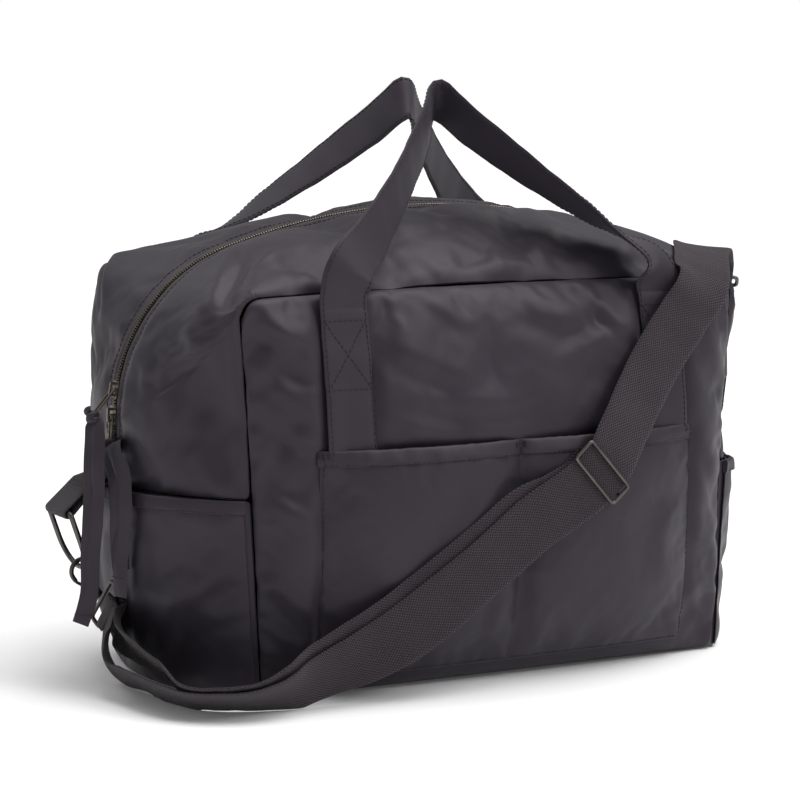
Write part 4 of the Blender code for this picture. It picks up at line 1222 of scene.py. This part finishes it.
class EndFitting:
    """Where one end's tab, ring, hook and strap eye lie. Each way leads from one piece to the next."""

    def __init__(self, name, tab_root, tab_middle, bar, ring_way, hook_way, eye_way, eye_bar):
        self.name = name
        self.tab_root, self.tab_middle, self.bar = [Vector(place) for place in (tab_root, tab_middle, bar)]
        self.ring_way, self.hook_way = Vector(ring_way).normalized(), Vector(hook_way).normalized()
        self.eye_bar_way = Vector(eye_bar).normalized()
        self.swivel = self.bar + self.ring_way * RING_DROP + self.hook_way * HOOK_REACH
        way = Vector(eye_way)
        way -= self.eye_bar_way * way.dot(self.eye_bar_way)
        self.eye_way = way.normalized()
        self.eye = self.swivel + self.eye_way * EYE_REACH


LEFT_END = EndFitting(
    "left", (-0.2580, 0, 0.1575), (-0.2800, 0, 0.1512), (-0.3005, 0, 0.1315),
    (0.326, 0, -0.945), (0.58, 0.22, -0.78), (0.30, -0.55, -0.65), (0.0, 0.75, -0.66),
)
RIGHT_END = EndFitting(
    "right", (0.2605, 0, 0.1570), (0.2668, 0, 0.1720), (0.2690, 0, 0.1985),
    (-0.03, 0, 1.0), (-0.28, -0.10, 0.95), (-0.50, -0.40, 0.60), (0.80, -0.57, -0.10),
)


def make_tab(end):
    """The webbing tab: sewn into the seam, folded round the ring's bar, and sewn down on itself."""
    way, root_way = (end.bar - end.tab_middle).normalized(), (end.tab_middle - end.tab_root).normalized()
    side, root_side = Vector((-way.z, 0, way.x)), Vector((-root_way.z, 0, root_way.x))
    radius = RING_WIRE + 0.0005 + TAB_THICK / 2
    turns = [math.pi * k / 14 for k in range(15)]
    turned = [end.bar + (way * math.sin(turn) - side * math.cos(turn)) * radius for turn in turns]
    low = [end.tab_root - root_side * 0.0014, end.tab_middle - side * 0.0022]
    high = [end.tab_middle + side * 0.0022, end.tab_root + root_side * 0.0014]
    lead = line_between(*low, 4)[:-1] + line_between(low[1], turned[0], 6)[:-1]
    tail = line_between(turned[-1], high[0], 6)[1:-1] + line_between(*high, 4)
    rows = [(p, Y) for p in lead + turned + tail]
    made = band("tab_" + end.name, rows, TAB_WIDTH, TAB_THICK, "webbing", edge=10,
                replaces=["dring_tab_" + end.name])
    tree, lines = tree_of(made), []
    for share in (0.10, 0.22):
        spot = end.tab_middle.lerp(end.bar, share)
        for face in (1, -1):
            spots = [spot + Y * (0.017 * (2 * j / 16 - 1)) for j in range(17)]
            lines.append(laid_on(tree, spots, -side * face, 0.012))
    stitches("tab_" + end.name + "_stitches", [line for line in lines if len(line) > 3])


def make_ring(end):
    corner, straight = 0.003, RING_DROP - RING_HALF
    way, points = end.ring_way, []
    for side in (-1, 1):
        middle = end.bar + Y * side * (RING_HALF - corner) + way * corner
        for k in range(7):
            turn = math.radians(15 * k if side > 0 else 90 - 15 * k)
            points.append(middle + (Y * side * math.sin(turn) - way * math.cos(turn)) * corner)
    for k in range(33):
        turn = math.pi * k / 32
        round_end = way * math.sin(turn) + Y * math.cos(turn)
        points.append(end.bar + way * straight + round_end * RING_HALF)
    body, node = "ring_" + end.name, "d_ring_" + end.name
    wire("ring_wire_" + end.name, points, RING_WIRE, "hardware", body, [node], True, 16)


def turned_piece(name, start, way, profile, node):
    """A lathe-turned piece of hardware: (distance along, radius) pairs about a line."""
    one = way.orthogonal().normalized()
    two = way.cross(one)
    turns = [2 * math.pi * j / 20 for j in range(20)]
    points, faces = stacked([[start + way * along + (one * math.cos(turn) + two * math.sin(turn)) * radius
                              for turn in turns] for along, radius in profile])
    piece(name, points, faces, "hardware", replaces=[node], sharp=35)


def make_hook(end):
    up = -end.hook_way
    out = up.cross(Y).normalized()

    def at(along, aside):
        return end.swivel + up * along + out * aside

    spine = [at(0.0046, 0.0), at(0.0070, -0.0033), at(0.0110, -0.0068), at(0.0175, -0.0085)]
    bow = []
    for k in range(11):
        turn = math.radians(180) * k / 10
        bow.append(at(HOOK_BOW_Z + HOOK_BOW * math.sin(turn), -HOOK_BOW * math.cos(turn)))
    path = spine + bow + [at(0.0205, HOOK_BOW)]
    path = spline_points(path, [(b - a).length for a, b in zip(path, path[1:])], 3)
    wire("hook_wire_" + end.name, path, HOOK_WIRE, "hardware", "hook_" + end.name, ["snap_hook_" + end.name])
    gate = line_between(at(0.0085, 0.0042), at(0.0193, HOOK_BOW), 8)
    wire("gate_wire_" + end.name, gate, 0.0012, "hardware", "gate_" + end.name, ["hook_gate_" + end.name])
    profile = [(-0.0036, 0.0018), (-0.0034, 0.0029), (-0.0028, 0.0034), (-0.0008, 0.0034),
               (-0.0004, 0.0030), (0.0004, 0.0030), (0.0008, 0.0034), (0.0026, 0.0034),
               (0.0032, 0.0028), (0.0036, 0.0018)]
    turned_piece("barrel_" + end.name, end.swivel, up, profile, "hook_barrel_" + end.name)
    near = end.swivel + end.eye_way * (EYE_REACH - 0.0105)
    half = end.eye_bar_way * EYE_HALF
    loop = rounded([near - half, near + half, end.eye + half, end.eye - half], 0.0035)
    wire("eye_wire_" + end.name, loop, EYE_WIRE, "hardware", "bag", ["strap_eye_" + end.name], True)


for fitting in (LEFT_END, RIGHT_END):
    make_tab(fitting)
    make_ring(fitting)
    make_hook(fitting)


# ---- shoulder strap --------------------------------------------------------------------------------------
# From the right eye over the shoulder of the bag and down its front to the tri-glide. Each row is
# the middle of the webbing and the direction from its left or upper edge to the other edge.
UPPER_ROUTE = [
    ((0.2405, -0.0330, 0.2990), (0.85, -0.50, -0.10)),
    ((0.2200, -0.0600, 0.3085), (0.90, -0.35, -0.10)),
    ((0.1985, -0.0880, 0.3080), (0.95, -0.25, -0.16)),
    ((0.1815, -0.1180, 0.2985), (0.97, 0.00, -0.22)),
    ((0.1720, -0.1325, 0.2890), (0.96, 0.10, -0.26)),
    ((0.1615, -0.1395, 0.2790), (0.95, 0.08, -0.31)),
    ((0.1490, -0.1425, 0.2660), (0.93, 0.02, -0.37)),
    ((0.1270, -0.1480, 0.2430), (0.88, 0.00, -0.47)),
    ((0.1010, -0.1570, 0.2125), (0.82, 0.00, -0.57)),
    ((0.0770, -0.1680, 0.1820), (0.75, 0.00, -0.66)),
    ((0.0625, -0.1719, 0.1623), (0.66, 0.00, -0.75)),
    ((0.0565, -0.1720, 0.1570), (0.66, 0.00, -0.75)),
]
# From the tri-glide down the front, flat under the bag's corner, and up to the left eye.
OUTER_ROUTE = [
    ((0.0565, -0.1720, 0.1570), (0.66, 0.00, -0.75)),
    ((0.0505, -0.1720, 0.1517), (0.66, 0.00, -0.75)),
    ((0.0300, -0.1717, 0.1385), (0.61, 0.00, -0.79)),
    ((0.0048, -0.1712, 0.1249), (0.60, 0.00, -0.80)),
    ((-0.0296, -0.1710, 0.1013), (0.58, 0.00, -0.81)),
    ((-0.0554, -0.1705, 0.0837), (0.57, 0.00, -0.82)),
    ((-0.0817, -0.1700, 0.0657), (0.56, -0.05, -0.83)),
    ((-0.1092, -0.1680, 0.0490), (0.55, 0.02, -0.83)),
    ((-0.1370, -0.1630, 0.0355), (0.55, 0.18, -0.80)),
    ((-0.1655, -0.1580, 0.0250), (0.53, 0.42, -0.72)),
    ((-0.1916, -0.1600, 0.0165), (0.50, 0.60, -0.62)),
    ((-0.2150, -0.1565, 0.0128), (0.48, 0.72, -0.50)),
    ((-0.2380, -0.1465, 0.0118), (0.46, 0.76, -0.46)),
    ((-0.2551, -0.1305, 0.0118), (0.46, 0.76, -0.46)),
    ((-0.2640, -0.1049, 0.0122), (0.48, 0.76, -0.46)),
    ((-0.2690, -0.0679, 0.0138), (0.50, 0.76, -0.44)),
    ((-0.2735, -0.0373, 0.0185), (0.46, 0.80, -0.40)),
    ((-0.2725, -0.0180, 0.0320), (0.24, 0.84, -0.50)),
]
# The strand behind it, from the bag's corner up to the same eye.
INNER_ROUTE = [
    ((-0.2556, -0.1325, 0.0165), (0.48, 0.76, -0.44)),
    ((-0.2620, -0.1038, 0.0255), (0.48, 0.76, -0.46)),
    ((-0.2650, -0.0686, 0.0335), (0.48, 0.76, -0.46)),
    ((-0.2635, -0.0340, 0.0380), (0.40, 0.80, -0.46)),
    ((-0.2610, -0.0165, 0.0440), (0.20, 0.80, -0.56)),
]


def wrap(end, lead_in, lead_out):
    """Rows round the eye's bar, over the side nearest the hook, with a straight lead on each side."""
    out = -end.eye_way.cross(end.eye_bar_way)
    turns = [math.pi * k / 6 for k in range(7)]
    points = [end.eye + out * WRAP_RADIUS + end.eye_way * lead_in]
    for turn in turns:
        points.append(end.eye + (out * math.cos(turn) - end.eye_way * math.sin(turn)) * WRAP_RADIUS)
    points.append(end.eye - out * WRAP_RADIUS + end.eye_way * lead_out)
    return [(point, end.eye_bar_way) for point in points]


def beside(rows):
    """The inner strand: the same rows on the bag's side of the outer one, and a little higher."""
    moved = []
    for k, (centre, across) in enumerate(rows):
        outward = heading(rows, k).cross(across).normalized()
        share = k / (len(rows) - 1)
        aside = 0.003 + 0.006 * smooth_step(9 * share) * smooth_step((0.95 - share) / 0.25)
        moved.append((centre - outward * STRAND_LIFT - across * aside, across))
    return moved


SLIDE_WIRE, SLIDE_HALF, SLIDE_REACH = 0.0012, 0.0243, 0.0092
FOLD_LENGTH = 0.016
INNER_START, INNER_CORNER_X = 16, -0.236    # the inner strand's first row, and where it leaves the outer one


def make_triglide(end_loop_length):
    """The wire slide that sets the strap's length, with the strap's sewn end round its middle bar.

    It gives the row where the sewn end stops.
    """
    (centre, across), after, before = route(OUTER_ROUTE)[0], OUTER_ROUTE[1][0], UPPER_ROUTE[-2][0]
    along = (Vector(after) - Vector(before)).normalized()
    across = (across - along * across.dot(along)).normalized()
    outward = along.cross(across)
    face = centre + outward * (STRAP_THICK / 2 + 0.0003 + SLIDE_WIRE)
    half, reach = across * SLIDE_HALF, along * SLIDE_REACH
    corners = [face - half - reach, face + half - reach, face + half + reach, face - half + reach]
    path = rounded(corners, 0.0030)
    wire("slide_frame", path, 0.00135, "hardware", "triglide", ["triglide_frame"], closed=True)
    bar = centre - outward * 0.0056
    bends = [face - half * 0.998, bar - half * 0.97, bar + half * 0.97, face + half * 0.998]
    path = rounded(bends, 0.0025, closed=False)
    wire("slide_bar", path, SLIDE_WIRE, "hardware", "triglide", ["triglide_bar"])
    radius, stop = SLIDE_WIRE + 0.0004 + STRAP_THICK / 2, bar + along * end_loop_length
    turns = [math.pi * k / 12 for k in range(13)]
    points = [stop - outward * radius]
    points += [bar - (outward * math.cos(turn) + along * math.sin(turn)) * radius for turn in turns]
    points.append(stop + outward * radius)
    rows = [(point, across) for point in points]
    band("strap_fold", rows, STRAP_WIDTH, STRAP_THICK, "webbing", "triglide", replaces=["strap_end_loop"])
    return stop + along * 0.0006, across


def make_strap(skin):
    shared = {"width": STRAP_WIDTH, "thick": STRAP_THICK, "finish": "webbing", "columns": 12, "skin": skin,
              "edge": 14, "ripple": 0.00035}
    upper = fine_rows(wrap(RIGHT_END, 0.012, 0.008) + route(UPPER_ROUTE), 7)
    band("strap_upper", upper, clear=0.0026, replaces=["strap_upper_run"], **shared)
    turn = wrap(LEFT_END, 0.006, 0.002)
    run = fine_rows(route(OUTER_ROUTE) + turn[:1], 7)
    band("strap_outer", run[:-1] + fine_rows(turn, 5), clear=0.0054, replaces=["strap_outer_run"], **shared)
    start = make_triglide(FOLD_LENGTH)
    ends = [(turn[-1][0] + LEFT_END.eye_way * reach, LEFT_END.eye_bar_way) for reach in (0.0076, 0.0006)]
    front = beside([row for row in run[INNER_START:] if row[0].x > INNER_CORNER_X])
    inner = [start] + front[:-1] + fine_rows(front[-1:] + route(INNER_ROUTE) + ends, 6)
    band("strap_inner", inner, clear=0.0018, replaces=["strap_inner_run"], **shared)


make_strap(tree_of(V_FRONT, V_TOP_FRONT, V_END_LEFT, V_POCKET, V_POCKET_LEFT, V_HEM, V_HEM_LEFT, V_GRIP))


# ---- base and lining --------------------------------------------------------------------------------------
def make_base():
    """The flat underside, with its edge rolled up to the seam."""
    rib, count, thick, roll_width = lower_ribs(29)[0], 41, 0.0040, 0.006
    outer, inner = [], []
    for r in range(count):
        y = -SEAM_Y + 2 * SEAM_Y * r / (count - 1)
        reach = -skin_point(rib, y).x - 0.0040
        low, high = [], []
        for c in range(count):
            x = reach * math.sin(math.pi / 2 * (2 * c / (count - 1) - 1))
            from_edge = min(reach - abs(x), SEAM_Y - abs(y) + 0.0002)
            roll = 0.0034 * (1 - smooth_step(from_edge / roll_width))
            low.append(drawn_in(Vector((x, y * 0.965, roll))))
            high.append(drawn_in(Vector((x, y * 0.965, thick))))
        outer.append(low)
        inner.append(high)
    points, faces = closed_grid(outer, inner)
    piece("bottom", points, faces, "nylon", replaces=["base_panel"], sharp=40)


def make_lining():
    """The open inner bag: its outer face up to the rim, and its inner face back down to its floor."""
    wall, floor, rim_z, half_x, half_y = 0.0010, 0.0079, 0.262, 0.1893, 0.1093
    around, levels = 96, 30

    def loop(inset, z, sag):
        found = []
        for k in range(around):
            turn = 2 * math.pi * k / around
            x, y = boxed(turn, 0.35)
            wrinkle = 0.0014 * math.sin(7 * turn + 30 * z) + 0.0010 * math.sin(13 * turn - 55 * z)
            slack = sag * (wrinkle - 0.0022)
            found.append(Vector(((half_x - inset + slack) * x, (half_y - inset + slack) * y, z)))
        return found

    rings = []
    for inset, start, stop in ((0, floor, rim_z), (wall, rim_z, floor + wall)):
        for k in range(levels + 1):
            share = k / levels
            rings.append(loop(inset, start + (stop - start) * share, math.sin(math.pi * share)))
    points, faces = stacked(rings)
    piece("lining_bag", points, faces, "lining", replaces=["lining"], sharp=60)


make_base()
make_lining()


# ---- topstitching on the pockets ----------------------------------------------------------------------
HEM_LINE, PANEL_EDGE, PANEL_LOW = POCKET_TOP - 0.0098, 0.1548, 0.016
POCKET_LINES = [                                # ((x, z), (x, z)) of each row of stitches
    ((-0.154, HEM_LINE), (-0.002, HEM_LINE)), ((0.002, HEM_LINE), (0.154, HEM_LINE)),
    ((-0.0012, PANEL_LOW), (-0.0012, 0.181)),
    ((-PANEL_EDGE, PANEL_LOW), (-PANEL_EDGE, 0.180)), ((PANEL_EDGE, PANEL_LOW), (PANEL_EDGE, 0.180)),
    ((-0.154, 0.0165), (0.154, 0.0165)),
]


def pocket_stitches():
    tree, lines = tree_of(V_POCKET, V_HEM), []

    def sew(a, b, count):
        lines.append(laid_on(tree, line_between((a[0], -0.16, a[1]), (b[0], -0.16, b[1]), count), Y, 0.05))

    for a, b in POCKET_LINES:
        sew(a, b, 60)
    for x in (-0.1555, 0.0, 0.1555):
        for k in range(4):
            z = POCKET_TOP - 0.0015 - 0.0011 * k
            sew((x - 0.004, z), (x + 0.004, z), 6)
    stitches("pocket_front_stitches", [line for line in lines if len(line) > 2])
    pockets = ((-1, V_POCKET_LEFT, V_HEM_LEFT, "left"), (1, V_POCKET_RIGHT, V_HEM_RIGHT, "right"))
    for side, sheet, edge, name in pockets:
        spots = line_between((side * 0.28, -0.113, 0.1388), (side * 0.28, 0.113, 0.1388), 70)
        found = laid_on(tree_of(sheet, edge), spots, (-side, 0, 0), 0.06)
        stitches("pocket_end_" + name + "_stitches", [found])


pocket_stitches()
